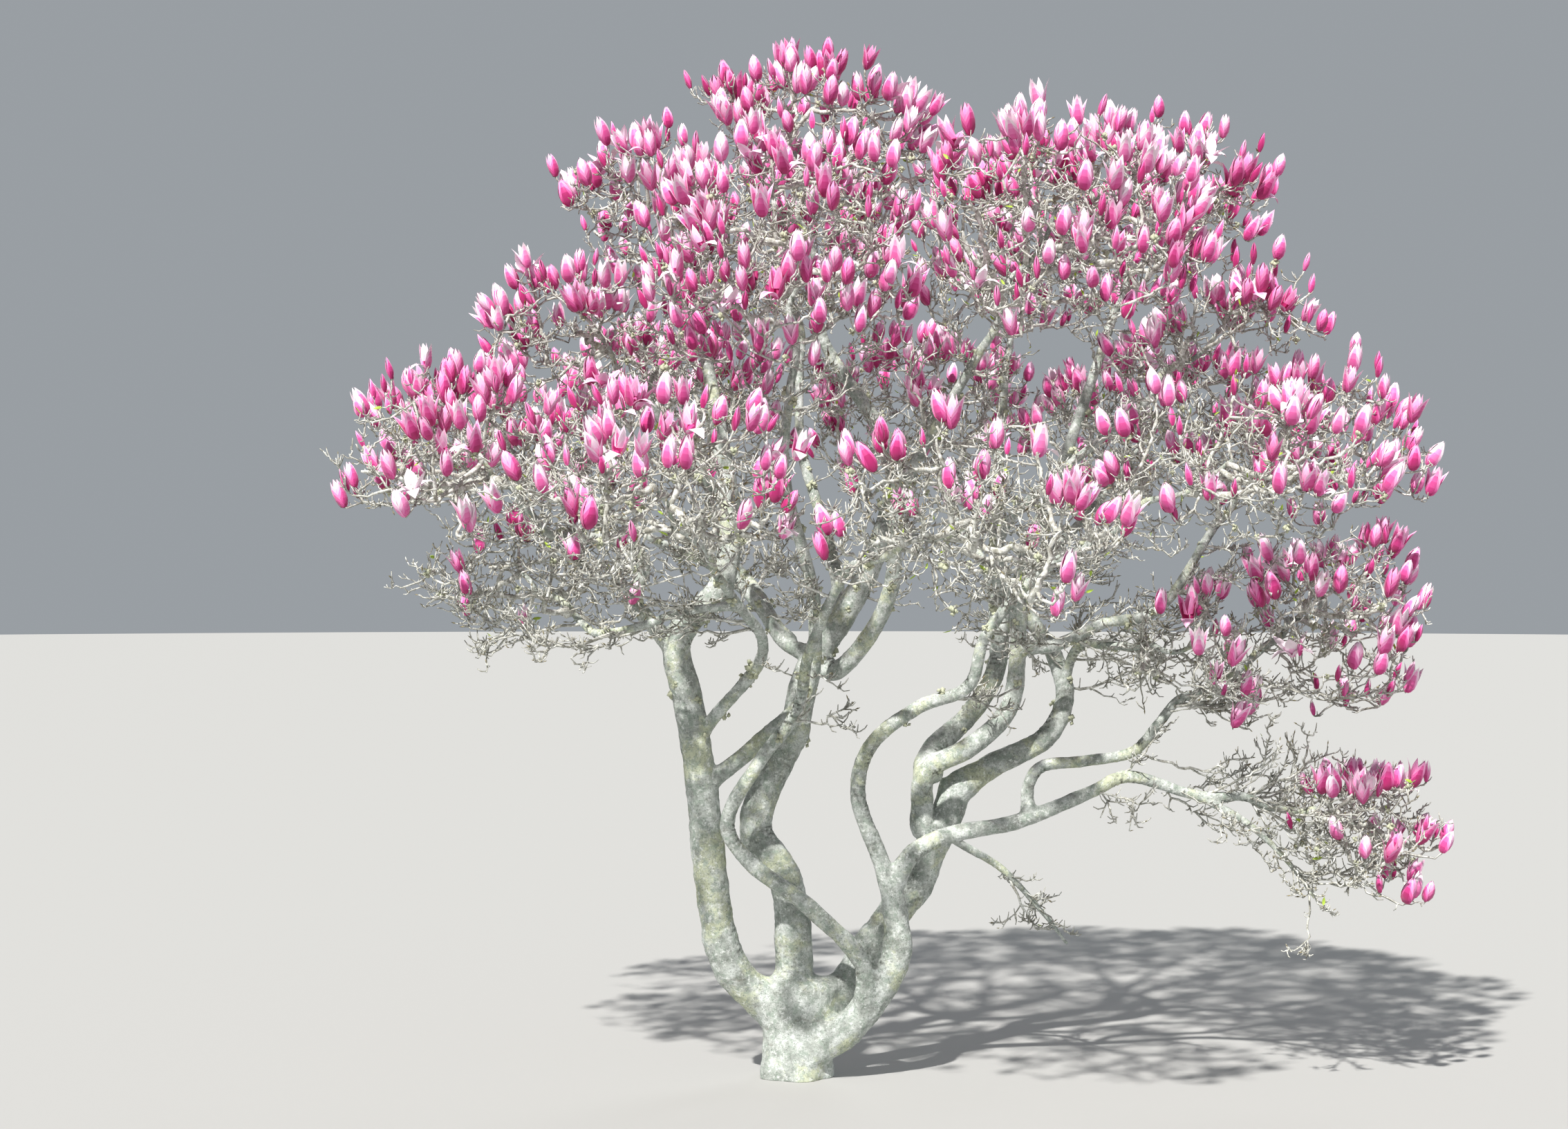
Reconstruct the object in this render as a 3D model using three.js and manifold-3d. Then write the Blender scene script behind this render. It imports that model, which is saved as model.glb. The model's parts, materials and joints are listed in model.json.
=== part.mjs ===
// A multi-stemmed saucer magnolia in full blossom, before its leaves.
// Millimetres, +Z up, the front looks along +Y, the right is +X.
// The stump stands on its flat cut at z = 0.
import * as THREE from 'three';
import Module from 'manifold-3d';

const wasm = await Module();
wasm.setup();

// Joints
const GAP = 0.3;                 // clearance where one limb meets the next
const PLUMB_X = 20;              // the limbs' plumb line stands right of the stump's centre

// Stump: height, width, depth and lobe of each section from the cut to the fork
const STUMP_SECTIONS = [
  [0, 262, 236, 0.09],
  [52, 246, 220, 0.05],
  [130, 244, 206, 0.02],
  [238, 266, 200, 0.02],
  [316, 278, 186, 0.03],
  [344, 214, 136, 0.03],
];
const STUMP_LEAN = 0.036;        // sideways for each millimetre up
const STUMP_SIDES = 12;
const FLARE_LOBES = 5;
const FLARE_TURN = 0.6;

// Limbs
const STEP = 150;                // length of one straight piece of a limb
const TIP = 30;                  // thickness where a bough enters its mass
const STEM_TAPER = 2;            // a stem keeps its thickness longer than a bough
const BOUGH_TAPER = 1.1;
const STEM_SIDES = 8;
const BOUGH_SIDES = 6;

// Each limb: the limb it springs from, or goes on from where that one ends, its
// thickness at both ends, the mass it carries and the places it passes, as
// [right, back, up] of the plumb line.
const LIMBS = [
  { name: 'stem_left', from: 'trunk', thick: [122, TIP], to: 'crown_upper_4', sides: STEM_SIDES,
    way: [[-85, -5, 215], [-255, -40, 401], [-312, -75, 690], [-343, -110, 1000],
      [-385, -140, 1290], [-428, -165, 1500], [-384, -178, 1585], [-284, -178, 1690],
      [-252, -165, 1812], [-244, -150, 1943], [-268, -120, 2121]] },
  { name: 'stem_middle', from: 'trunk', thick: [124, 104], sides: STEM_SIDES,
    way: [[-30, 8, 225], [-30, 5, 500], [-58, 0, 680], [-160, 0, 850], [-120, 0, 1010],
      [-22, 0, 1200]] },
  { name: 'stem_middle_upper', from: 'stem_middle', goesOn: true, thick: [104, TIP],
    to: 'crown_top', sides: STEM_SIDES,
    way: [[20, 0, 1400], [155, 0, 1613], [250, 10, 1800], [318, 20, 2130], [74, 0, 2560]] },
  { name: 'stem_right', from: 'trunk', thick: [108, 80], sides: STEM_SIDES,
    way: [[40, -45, 90], [150, -70, 168], [262, -88, 310], [325, -95, 440], [302, -100, 700]] },
  { name: 'stem_back', from: 'trunk', thick: [126, 108], sides: STEM_SIDES,
    way: [[60, 38, 165], [112, 50, 240], [205, 70, 377], [318, 90, 545], [398, 102, 645],
      [452, 115, 770], [512, 128, 890], [545, 135, 1010]] },
  { name: 'stem_front', from: 'stem_right', thick: [64, TIP], to: 'crown_rim_8',
    way: [[216, -128, 300], [206, -150, 410], [31, -158, 600], [-190, -165, 770],
      [-255, -185, 890], [-134, -225, 1123], [-20, -265, 1275], [20, -380, 1476],
      [150, -620, 1760]] },
  { name: 'bough_left_outer', from: 'stem_left', thick: [60, TIP], to: 'crown_rim_6',
    way: [[-525, -180, 1590], [-572, -184, 1655], [-540, -188, 1760], [-570, -198, 1832],
      [-700, -230, 1862], [-850, -285, 1880]] },
  { name: 'bough_left_front', from: 'stem_left', thick: [48, TIP], to: 'crown_rim_7',
    way: [[-288, -190, 1270], [-149, -300, 1438], [-135, -400, 1530], [-210, -520, 1640]] },
  { name: 'bough_left_low', from: 'bough_left_front', thick: [30, 26], to: 'crown_low_left',
    way: [[-380, -500, 1622], [-565, -470, 1564], [-690, -420, 1550]] },
  { name: 'bough_left_middle', from: 'stem_left', thick: [60, TIP], to: 'crown_upper_5',
    way: [[-242, -112, 1085], [-110, -120, 1200], [12, -135, 1322], [40, -250, 1640],
      [-60, -420, 2080]] },
  { name: 'bough_middle_right', from: 'stem_middle_upper', thick: [66, TIP], to: 'crown_upper_6',
    way: [[110, -50, 1406], [235, -130, 1540], [302, -210, 1700], [330, -330, 2000]] },
  { name: 'bough_middle_left', from: 'stem_middle_upper', thick: [54, TIP], to: 'crown_rim_5',
    way: [[-55, 40, 1500], [-166, 90, 1651], [-317, 130, 1774], [-480, 190, 1840]] },
  { name: 'bough_middle_back', from: 'stem_middle_upper', thick: [50, TIP], to: 'crown_upper_3',
    way: [[130, 90, 1680], [90, 200, 1880], [0, 350, 2200]] },
  { name: 'bough_back_left', from: 'bough_middle_left', thick: [48, TIP], to: 'crown_rim_4',
    way: [[-90, 120, 1560], [-150, 330, 1665], [-290, 620, 1850]] },
  { name: 'bough_inner_left', from: 'bough_middle_left', thick: [36, TIP],
    to: 'crown_inner_left', way: [[-235, 120, 1790], [-225, 90, 1900]] },
  { name: 'limb_rising', from: 'stem_right', thick: [60, TIP], to: 'crown_rim_9',
    way: [[262, -112, 782], [190, -135, 990], [228, -170, 1150], [390, -220, 1290],
      [560, -270, 1365], [612, -310, 1530], [780, -400, 1742]] },
  { name: 'limb_long', from: 'stem_right', thick: [64, 28], to: 'crown_right_foot',
    way: [[380, -112, 785], [511, -120, 850], [727, -130, 893], [1000, -140, 1003],
      [1104, -140, 1050], [1365, -130, 982], [1520, -125, 978], [1600, -120, 945]] },
  { name: 'limb_long_upper', from: 'limb_long', thick: [44, 28], to: 'crown_right_low',
    way: [[774, -120, 1010], [815, -112, 1078], [965, -105, 1100], [1139, -100, 1134],
      [1226, -95, 1230], [1295, -92, 1310], [1417, -90, 1352]] },
  { name: 'limb_long_lower', from: 'limb_long', thick: [30, 16],
    way: [[1430, -150, 945], [1487, -162, 914], [1591, -175, 830], [1680, -185, 730],
      [1745, -190, 640]] },
  { name: 'limb_back', from: 'stem_back', thick: [88, TIP], to: 'crown_rim_2',
    way: [[665, 160, 1061], [878, 210, 1169], [940, 250, 1300], [910, 300, 1445],
      [810, 380, 1650]] },
  { name: 'bough_drooping', from: 'stem_back', thick: [34, 14],
    way: [[560, 150, 790], [708, 190, 698], [864, 220, 530], [948, 235, 422]] },
  { name: 'limb_upright', from: 'stem_back', thick: [80, TIP], to: 'crown_upper_1',
    way: [[430, 92, 850], [422, 84, 940], [438, 64, 1055], [588, 50, 1138], [722, 45, 1270],
      [754, 40, 1470], [760, 30, 1720], [900, 30, 2100]] },
  { name: 'limb_behind', from: 'limb_upright', thick: [82, TIP], to: 'crown_upper_2',
    way: [[455, 130, 1110], [600, 200, 1246], [690, 235, 1390], [715, 270, 1640],
      [700, 330, 1880]] },
  { name: 'bough_right', from: 'limb_upright', thick: [46, TIP], to: 'crown_rim_1',
    way: [[888, 35, 1495], [1050, 30, 1570], [1230, 25, 1610]] },
  { name: 'bough_right_low', from: 'limb_back', thick: [40, TIP], to: 'crown_thicket',
    way: [[984, 190, 1485], [1080, 90, 1490]] },
  { name: 'bough_back', from: 'limb_behind', thick: [52, TIP], to: 'crown_rim_3',
    way: [[705, 330, 1500], [690, 520, 1730], [600, 760, 1930]] },
  { name: 'bough_inner_right', from: 'limb_upright', thick: [38, TIP],
    to: 'crown_inner_right', way: [[700, -40, 1720], [690, -60, 1880]] },
];

// Masses of twigs and blossom, in rings: a ring's middle, how far its hearts
// stand out from there, the half sizes of the space that each mass keeps to, how
// much their heights roll, how much the ring leans up to the back and down to the
// front, and the number of blossoms in each.
const RINGS = [
  { name: 'crown_top', count: 1, middle: [-20, 0, 3170], reach: [0, 0],
    half: [640, 600, 450], roll: 0, lean: 0, bloom: 16 },
  { name: 'crown_upper', count: 6, middle: [390, 0, 2900], reach: [800, 780],
    half: [570, 570, 460], roll: 60, lean: 60, bloom: 13 },
  { name: 'crown_rim', count: 9, middle: [250, 0, 2170], reach: [1400, 1210],
    half: [600, 580, 410], roll: 55, lean: 220, bloom: 13 },
  { name: 'crown_inner_left', count: 1, middle: [-700, -60, 2560], reach: [0, 0],
    half: [470, 470, 400], roll: 0, lean: 0, bloom: 8 },
  { name: 'crown_inner_right', count: 1, middle: [1420, -80, 2570], reach: [0, 0],
    half: [470, 470, 400], roll: 0, lean: 0, bloom: 8 },
  { name: 'crown_thicket', count: 1, middle: [1330, -60, 1490], reach: [0, 0],
    half: [400, 420, 330], roll: 0, lean: 0, bloom: 7 },
  { name: 'crown_right_low', count: 1, middle: [1780, -70, 1640], reach: [0, 0],
    half: [400, 440, 420], roll: 0, lean: 0, bloom: 12 },
  { name: 'crown_right_foot', count: 1, middle: [1920, -110, 890], reach: [0, 0],
    half: [320, 380, 310], roll: 0, lean: 0, bloom: 9 },
  { name: 'crown_low_left', count: 1, middle: [-950, -200, 1740], reach: [0, 0],
    half: [500, 450, 300], roll: 0, lean: 0, bloom: 8 },
];
const ROLL_TURN = 2.4;           // turn of the roll from one mass to the next
const ROLL_START = 1;
const FIRST_SEED = 4021;
const SPACE_MARGIN = 14;         // kept between two neighbouring spaces
const STRIDE = 10;               // step of the search for a mass's entry
const LEAST_STEM = 90;           // a mass's stem is at least this long
const LEAST_BOUGH = 60;          // and leaves its bough at least this

// Twigs
const STEM_THICK = [26, 21.5, 17];      // stem of a mass, at its foot, knee and end
const STEM_PAST = 0.1;                  // share of its length that it runs past the heart
const TWIG_ROOT = 6;                    // a twig is thin where it sinks into the one before
const TWIG_THICK = [14, 9];             // at its bend and under its blossom
const STEM_KNOTS = [0.3, 0.55, 0.8];    // where twigs spring from each half of a stem
const TWIG_KNOTS = [0.5, 0.8];          // and from a twig before and after its bend
const END_KNOTS = [0.35];
const BEND_AT = 0.55;
const SAG = 0.12;                // how far a twig dips before it turns up
const RISE = 30;                 // least height a twig gains after its bend
const SHORTEST = 60;
const STEEPEST = 0.3;            // least cosine between a twig's end and its blossom
const SWERVE = 0.6;              // how much a twig would rather go on than turn back
const CLEAR = 5;                 // least distance of a twig from a limb or another twig
const LEAVE = 45;                // a twig's first stretch may touch the twig it leaves

// Blossom
const LOWEST = -0.5;             // how far below its heart a mass still blooms
const SHELL = 0.86;              // blossom stands beyond this share of the space
const DRAW_IN = 0.08;            // step by which it is drawn in where it doesn't fit
const INNERMOST = 0.5;
const TRY_LIMIT = 14;            // tries for each blossom wanted
const OUTWARD = 0.45;            // outward lean of a blossom
const UPWARD = 0.18;             // how much steeper it stands higher up
const BLOSSOM_HEIGHT = 150;
const BLOSSOM_SPACING = 125;
const BLOSSOM_SIDES = 5;
const GOBLET_SHARE = 0.7;        // the others stand open
// [radius, height] of the rings and the height of the tip, as shares of the height
const GOBLET = { rings: [[0.36, 0.33], [0.30, 0.78]], tip: 1, wide: 0.36, tall: 1, edge: 0 };
const SAUCER = { rings: [[0.38, 0.22], [0.60, 0.56]], tip: 0.3, wide: 0.6, tall: 0.56, edge: 4 };

// Looks
const BARK = { color: 0x9aa69b, roughness: 0.9, metalness: 0 };
const BLOSSOM = { color: 0xd488ae, roughness: 0.65, metalness: 0 };

const place = ([x, y, z]) => new THREE.Vector3(x + PLUMB_X, y, z);
const between = (a, b) => new THREE.Vector3().subVectors(b, a);
const along = (p, way, far) => p.clone().addScaledVector(way, far);
const mix = (a, b, t) => a + (b - a) * t;

function seeded(seed) {
  let state = seed >>> 0;
  return () => {
    state = (state + 0x6d2b79f5) >>> 0;
    let t = state;
    t = Math.imul(t ^ (t >>> 15), t | 1);
    t ^= t + Math.imul(t ^ (t >>> 7), t | 61);
    return ((t ^ (t >>> 14)) >>> 0) / 4294967296;
  };
}

// Shapes

function ring(middle, side, up, radius, sides) {
  return Array.from({ length: sides }, (_, k) => {
    const turn = (2 * Math.PI * k) / sides;
    return along(along(middle, side, Math.cos(turn) * radius), up, Math.sin(turn) * radius);
  });
}

// The triangles between two rings that may differ in their number of sides.
function band(a, b, low, high, faces) {
  const stepsA = a > 1 ? a : 0;
  const stepsB = b > 1 ? b : 0;
  let j = 0;
  let k = 0;
  while (j < stepsA || k < stepsB) {
    const next = low + ((j + 1) % a);
    const above = high + ((k + 1) % b);
    if (k >= stepsB || (j < stepsA && (j + 1) * b <= (k + 1) * a)) {
      faces.push(low + (j % a), next, high + (k % b));
      j += 1;
    } else {
      faces.push(low + (j % a), above, high + (k % b));
      k += 1;
    }
  }
}

// Rings of points joined into one closed skin; a ring of one point is a tip.
function skin(rings) {
  const faces = [];
  let low = 0;
  for (let i = 0; i + 1 < rings.length; i++) {
    const high = low + rings[i].length;
    band(rings[i].length, rings[i + 1].length, low, high, faces);
    low = high;
  }
  for (let k = 1; k + 1 < rings[0].length; k++) faces.push(0, k + 1, k);
  for (let k = 1; k + 1 < rings[rings.length - 1].length; k++) faces.push(low, low + k, low + k + 1);
  const geometry = new THREE.BufferGeometry().setFromPoints(rings.flat());
  geometry.setIndex(faces);
  return geometry;
}

// Rings of a tapering tube along a path; its ends stand square to the given ways.
function tubeRings(path, thick, sides, startWay, endWay) {
  const last = path.length - 1;
  const side = new THREE.Vector3(0.31, -0.93, 0.2);
  return path.map((p, i) => {
    const way = between(path[Math.max(i - 1, 0)], path[Math.min(i + 1, last)]).normalize();
    if (i === 0 && startWay) way.copy(startWay);
    if (i === last && endWay) way.copy(endWay);
    side.addScaledVector(way, -side.dot(way)).normalize();
    const up = new THREE.Vector3().crossVectors(way, side);
    return ring(p, side, up, thick[i] / 2, sides);
  });
}

function toSolid(geometry) {
  return new wasm.Manifold(new wasm.Mesh({
    numProp: 3,
    vertProperties: geometry.getAttribute('position').array,
    triVerts: Uint32Array.from(geometry.index.array),
  }));
}

function toMesh(name, solid, look) {
  const { vertProperties, triVerts } = solid.getMesh();
  const geometry = new THREE.BufferGeometry();
  geometry.setAttribute('position', new THREE.BufferAttribute(new Float32Array(vertProperties), 3));
  geometry.setIndex(new THREE.BufferAttribute(new Uint32Array(triVerts), 1));
  geometry.computeVertexNormals();
  const mesh = new THREE.Mesh(geometry, new THREE.MeshStandardMaterial({ ...look, flatShading: true }));
  mesh.name = name;
  return mesh;
}

// The biggest body of a cut or joined solid: hollows filled, scraps dropped.
function mainBody(solid) {
  const bodies = solid.decompose();
  return bodies.reduce((best, one) => (one.volume() > best.volume() ? one : best));
}

// The stump, or the same grown by a clearance on all sides.
function stump(clearance) {
  const last = STUMP_SECTIONS.length - 1;
  const rings = STUMP_SECTIONS.map(([z, wide, deep, lobe], i) => {
    const raised = z + (i === last ? clearance : 0) - (i === 0 ? clearance : 0);
    return Array.from({ length: STUMP_SIDES }, (_, k) => {
      const turn = (2 * Math.PI * k) / STUMP_SIDES;
      const swell = 1 + lobe * Math.cos(FLARE_LOBES * turn + FLARE_TURN);
      return new THREE.Vector3(
        STUMP_LEAN * z + ((wide / 2) * swell + clearance) * Math.cos(turn),
        ((deep / 2) * swell + clearance) * Math.sin(turn),
        raised,
      );
    });
  });
  return toSolid(skin(rings));
}

// The spaces of the masses

function ringOfMasses(row) {
  return Array.from({ length: row.count }, (_, k) => {
    const turn = (2 * Math.PI * k) / row.count;
    const roll = row.roll * Math.sin(ROLL_TURN * k + ROLL_START);
    const heart = place([
      row.middle[0] + row.reach[0] * Math.cos(turn),
      row.middle[1] + row.reach[1] * Math.sin(turn),
      row.middle[2] + row.lean * Math.sin(turn) + roll,
    ]);
    const name = row.count > 1 ? `${row.name}_${k + 1}` : row.name;
    return { name, heart, half: new THREE.Vector3(...row.half), bloom: row.bloom };
  });
}

const masses = RINGS.flatMap(ringOfMasses);

// Whether a place lies in the space of a mass, a margin inside its edge.
function inSpace(mass, p, margin) {
  const out = between(mass.heart, p);
  const { x, y, z } = mass.half;
  const share = new THREE.Vector3(out.x / (x - margin), out.y / (y - margin), out.z / (z - margin));
  if (share.length() > 1) return false;
  return masses.every((other) => {
    if (other === mass) return true;
    const way = between(mass.heart, other.heart);
    return out.dot(way) / way.length() < way.length() / 2 - margin - SPACE_MARGIN;
  });
}

// Where a bough that comes from a place enters the mass, and its way there.
function entryOf(mass, from) {
  const way = between(from, mass.heart);
  const length = way.length();
  way.normalize();
  let back = 0;
  while (back < length - LEAST_BOUGH && inSpace(mass, along(mass.heart, way, -back), TIP / 2)) {
    back += STRIDE;
  }
  return { at: along(mass.heart, way, -Math.max(back - STRIDE, LEAST_STEM)), way };
}

// Limbs, each cut clear of those before it

const lines = new Map();
const ends = new Map();          // where each limb ends and the way it has there
const pieces = [];               // straight pieces of all limbs, for the twigs to keep clear of
const cutters = [stump(1.2 * GAP)];
const solids = new Map([['trunk', stump(0)]]);

// The place on a limb's middle line, shortly before the one nearest to p.
function rootOn(line, p) {
  let nearest = 0;
  line.forEach((q, i) => {
    if (q.distanceTo(p) < line[nearest].distanceTo(p)) nearest = i;
  });
  return line[Math.max(nearest - 1, 0)].clone().lerp(line[nearest], 0.75);
}

function addLimb({ name, from, goesOn, thick, to, sides = BOUGH_SIDES, way }) {
  const path = way.map(place);
  const end = goesOn ? ends.get(from) : null;
  if (end) path.unshift(along(end.at, end.way, GAP));
  else if (lines.has(from)) path.unshift(rootOn(lines.get(from), path[0]));
  const mass = masses.find((one) => one.name === to);
  if (mass) {
    mass.entry = entryOf(mass, path[path.length - 1]);
    path.push(mass.entry.at.clone());
  }
  const curve = new THREE.CatmullRomCurve3(path, false, 'centripetal');
  const count = Math.max(3, Math.round(curve.getLength() / STEP));
  const line = curve.getSpacedPoints(count);
  const taper = from === 'trunk' ? STEM_TAPER : BOUGH_TAPER;
  const widths = line.map((_, i) => mix(thick[0], thick[1], (i / count) ** taper));
  const startWay = end ? end.way : between(line[0], line[1]).normalize();
  const endWay = mass ? mass.entry.way : between(line[count - 1], line[count]).normalize();
  const longer = [along(line[0], startWay, -GAP), ...line.slice(1, -1), along(line[count], endWay, GAP)];
  const wider = widths.map((width) => width + 2.4 * GAP);
  let body = toSolid(skin(tubeRings(line, widths, sides, startWay, endWay)));
  for (const cutter of cutters) body = body.subtract(cutter);
  solids.set(name, mainBody(body));
  cutters.push(toSolid(skin(tubeRings(longer, wider, sides, startWay, endWay))));
  lines.set(name, line);
  ends.set(name, { at: line[count], way: endWay });
  for (let i = 0; i < count; i++) pieces.push({ a: line[i], b: line[i + 1], r: widths[i] / 2 });
}

LIMBS.forEach(addLimb);

// Masses

// Least distance of two straight pieces, from a to b and from c to d.
function apart(a, b, c, d) {
  const u = between(a, b);
  const v = between(c, d);
  const w = between(c, a);
  const [uu, uv, vv, uw, vw] = [u.dot(u), u.dot(v), v.dot(v), u.dot(w), v.dot(w)];
  const clamp = (t) => Math.min(1, Math.max(0, t));
  const det = uu * vv - uv * uv;
  let s = det > 1e-9 ? clamp((uv * vw - vv * uw) / det) : 0;
  const t = clamp((uv * s + vw) / vv);
  s = clamp((uv * t - uw) / uu);
  return along(along(w, u, s), v, -t).length();
}

function touches(list, { a, b, r }) {
  return list.some((one) => apart(a, b, one.a, one.b) < one.r + r + CLEAR);
}

// The k-th of a row of places that stay evenly spread, however many are taken.
function spread(k, shift) {
  const steps = [0.8191725134, 0.6710436067, 0.5497004779];
  return steps.map((step, i) => (0.5 + step * k + shift[i]) % 1);
}

// Where a blossom's top can stand in a mass, drawn in from the shell until it fits.
function topFor(mass, out, axis, shape, share) {
  const tall = shape.tall * BLOSSOM_HEIGHT;
  for (let s = share; s > INNERMOST; s -= DRAW_IN) {
    const top = out.clone().multiply(mass.half).multiplyScalar(s).add(mass.heart);
    const waist = along(top, axis, -tall / 2);
    if (inSpace(mass, top, shape.edge) && inSpace(mass, waist, shape.wide * BLOSSOM_HEIGHT)) return top;
  }
  return null;
}

// The free knot from which a twig reaches a place on the shortest, straightest way.
function nearestKnot(knots, p) {
  let best = null;
  let least = Infinity;
  for (const knot of knots) {
    const span = between(knot.at, p);
    const price = span.length() * (1 + SWERVE) - SWERVE * span.dot(knot.way);
    if (!knot.taken && price < least) {
      best = knot;
      least = price;
    }
  }
  return best;
}

function addKnots(knots, a, b, shares) {
  const way = between(a, b).normalize();
  for (const share of shares) knots.push({ at: a.clone().lerp(b, share), way, taken: false });
}

// A twig that bends up to its blossom, as one skin.
function bloomingTwig({ root, bend, base, axis, shape }) {
  const rings = tubeRings([root, bend, base], [TWIG_ROOT, ...TWIG_THICK], 3);
  const side = between(base, rings[2][0]);
  side.addScaledVector(axis, -side.dot(axis)).normalize();
  const up = new THREE.Vector3().crossVectors(axis, side);
  for (const [radius, height] of shape.rings) {
    const middle = along(base, axis, height * BLOSSOM_HEIGHT);
    rings.push(ring(middle, side, up, radius * BLOSSOM_HEIGHT, BLOSSOM_SIDES));
  }
  rings.push([along(base, axis, shape.tip * BLOSSOM_HEIGHT)]);
  return toSolid(skin(rings));
}

// The straight pieces that a twig and its blossom take up.
function piecesOf({ root, bend, base, axis, shape }) {
  const leave = LEAVE / root.distanceTo(base);
  const tall = shape.tall * BLOSSOM_HEIGHT;
  const r = TWIG_THICK[0] / 2;
  return [
    { a: root.clone().lerp(base, leave), b: bend, r },
    { a: bend, b: base, r },
    { a: along(base, axis, 0.3 * tall), b: along(base, axis, 0.7 * tall), r: shape.wide * BLOSSOM_HEIGHT },
  ];
}

// The k-th twig of a mass with its blossom, or null where none can grow.
function twigOf(mass, k, shift, shape, knots, tops) {
  const [p, q, share] = spread(k, shift);
  const high = mix(LOWEST, 1, p);
  const wide = Math.sqrt(1 - high * high);
  const turn = 2 * Math.PI * q;
  const out = new THREE.Vector3(wide * Math.cos(turn), wide * Math.sin(turn), high);
  const axis = new THREE.Vector3(OUTWARD * out.x, OUTWARD * out.y, 1 + UPWARD * Math.abs(high)).normalize();
  const top = topFor(mass, out, axis, shape, mix(SHELL, 1, share));
  if (!top || tops.some((other) => other.distanceTo(top) < BLOSSOM_SPACING)) return null;
  const base = along(top, axis, -shape.tall * BLOSSOM_HEIGHT);
  const knot = nearestKnot(knots, base);
  const length = knot.at.distanceTo(base);
  const bend = knot.at.clone().lerp(base, BEND_AT);
  bend.z = Math.min(bend.z - SAG * length, base.z - RISE);
  const rise = between(bend, base).normalize();
  if (length < SHORTEST || rise.dot(axis) < STEEPEST || !inSpace(mass, bend, TWIG_THICK[0])) return null;
  return { root: knot.at, bend, base, axis, shape, knot, top };
}

function addMass(mass, index) {
  const random = seeded(FIRST_SEED + index);
  const shift = [random(), random(), random()];
  const { at, way } = mass.entry;
  const foot = along(at, way, GAP);
  const reach = foot.distanceTo(mass.heart);
  const knee = along(foot, way, 0.5 * reach);
  const end = along(mass.heart, way, STEM_PAST * reach);
  const parts = [toSolid(skin(tubeRings([foot, knee, end], STEM_THICK, 3, way, null)))];
  const taken = [{ a: foot, b: knee, r: STEM_THICK[0] / 2 }, { a: knee, b: end, r: STEM_THICK[1] / 2 }];
  const knots = [];
  const tops = [];
  addKnots(knots, foot, knee, STEM_KNOTS);
  addKnots(knots, knee, end, STEM_KNOTS);
  for (let k = 0; k < TRY_LIMIT * mass.bloom && tops.length < mass.bloom; k++) {
    const shape = random() > GOBLET_SHARE ? SAUCER : GOBLET;
    const twig = twigOf(mass, k, shift, shape, knots, tops);
    const grown = twig ? piecesOf(twig) : [];
    if (!twig || grown.some((one) => touches(pieces, one) || touches(taken, one))) continue;
    parts.push(bloomingTwig(twig));
    taken.push(...grown);
    tops.push(twig.top);
    twig.knot.taken = true;
    addKnots(knots, twig.root, twig.bend, TWIG_KNOTS);
    addKnots(knots, twig.bend, twig.base, END_KNOTS);
  }
  solids.set(mass.name, mainBody(wasm.Manifold.union(parts)));
}

masses.forEach(addMass);

const group = new THREE.Group();
for (const [name, solid] of solids) {
  group.add(toMesh(name, solid, name.startsWith('crown') ? BLOSSOM : BARK));
}

export default group;
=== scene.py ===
# A multi-stemmed saucer magnolia in full blossom: bark, twigs, blossoms and lichen.
# Lengths are millimetres up to the making of a mesh, which is in metres.
import json
import math

import bpy
import numpy as np
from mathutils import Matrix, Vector, noise
from mathutils.kdtree import KDTree

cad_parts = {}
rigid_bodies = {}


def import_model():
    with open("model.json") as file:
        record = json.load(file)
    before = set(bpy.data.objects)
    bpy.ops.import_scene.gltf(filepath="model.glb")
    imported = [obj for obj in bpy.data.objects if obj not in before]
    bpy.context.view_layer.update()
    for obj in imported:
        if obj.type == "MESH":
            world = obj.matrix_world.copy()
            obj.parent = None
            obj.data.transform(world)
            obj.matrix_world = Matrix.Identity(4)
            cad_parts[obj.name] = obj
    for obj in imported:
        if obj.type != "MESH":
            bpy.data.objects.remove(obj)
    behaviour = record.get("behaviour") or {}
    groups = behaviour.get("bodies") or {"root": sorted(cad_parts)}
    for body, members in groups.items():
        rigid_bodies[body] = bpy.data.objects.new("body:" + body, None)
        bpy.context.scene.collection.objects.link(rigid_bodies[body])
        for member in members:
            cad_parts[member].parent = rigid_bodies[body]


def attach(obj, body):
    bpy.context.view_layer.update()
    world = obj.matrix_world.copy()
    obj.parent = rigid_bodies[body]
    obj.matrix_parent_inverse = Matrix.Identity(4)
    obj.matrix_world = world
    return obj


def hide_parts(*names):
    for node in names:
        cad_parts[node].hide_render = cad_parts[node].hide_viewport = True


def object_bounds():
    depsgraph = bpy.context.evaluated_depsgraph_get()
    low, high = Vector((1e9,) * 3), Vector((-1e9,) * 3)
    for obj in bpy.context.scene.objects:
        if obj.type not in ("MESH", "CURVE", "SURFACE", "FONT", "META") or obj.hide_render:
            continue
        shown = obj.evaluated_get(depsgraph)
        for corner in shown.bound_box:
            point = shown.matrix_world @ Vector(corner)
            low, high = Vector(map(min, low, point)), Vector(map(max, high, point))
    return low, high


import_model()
cad_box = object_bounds()

MM = 0.001
BODY = "root"

# Stump: height, width, depth and lobe of each section from the cut to the fork
PLUMB_X = 20
STUMP_SECTIONS = [
    (0, 262, 236, 0.09),
    (52, 246, 220, 0.05),
    (130, 244, 206, 0.02),
    (238, 266, 200, 0.02),
    (316, 278, 186, 0.03),
    (344, 214, 136, 0.03),
]
STUMP_LEAN = 0.036
FLARE_LOBES = 5
FLARE_TURN = 0.6

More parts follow.
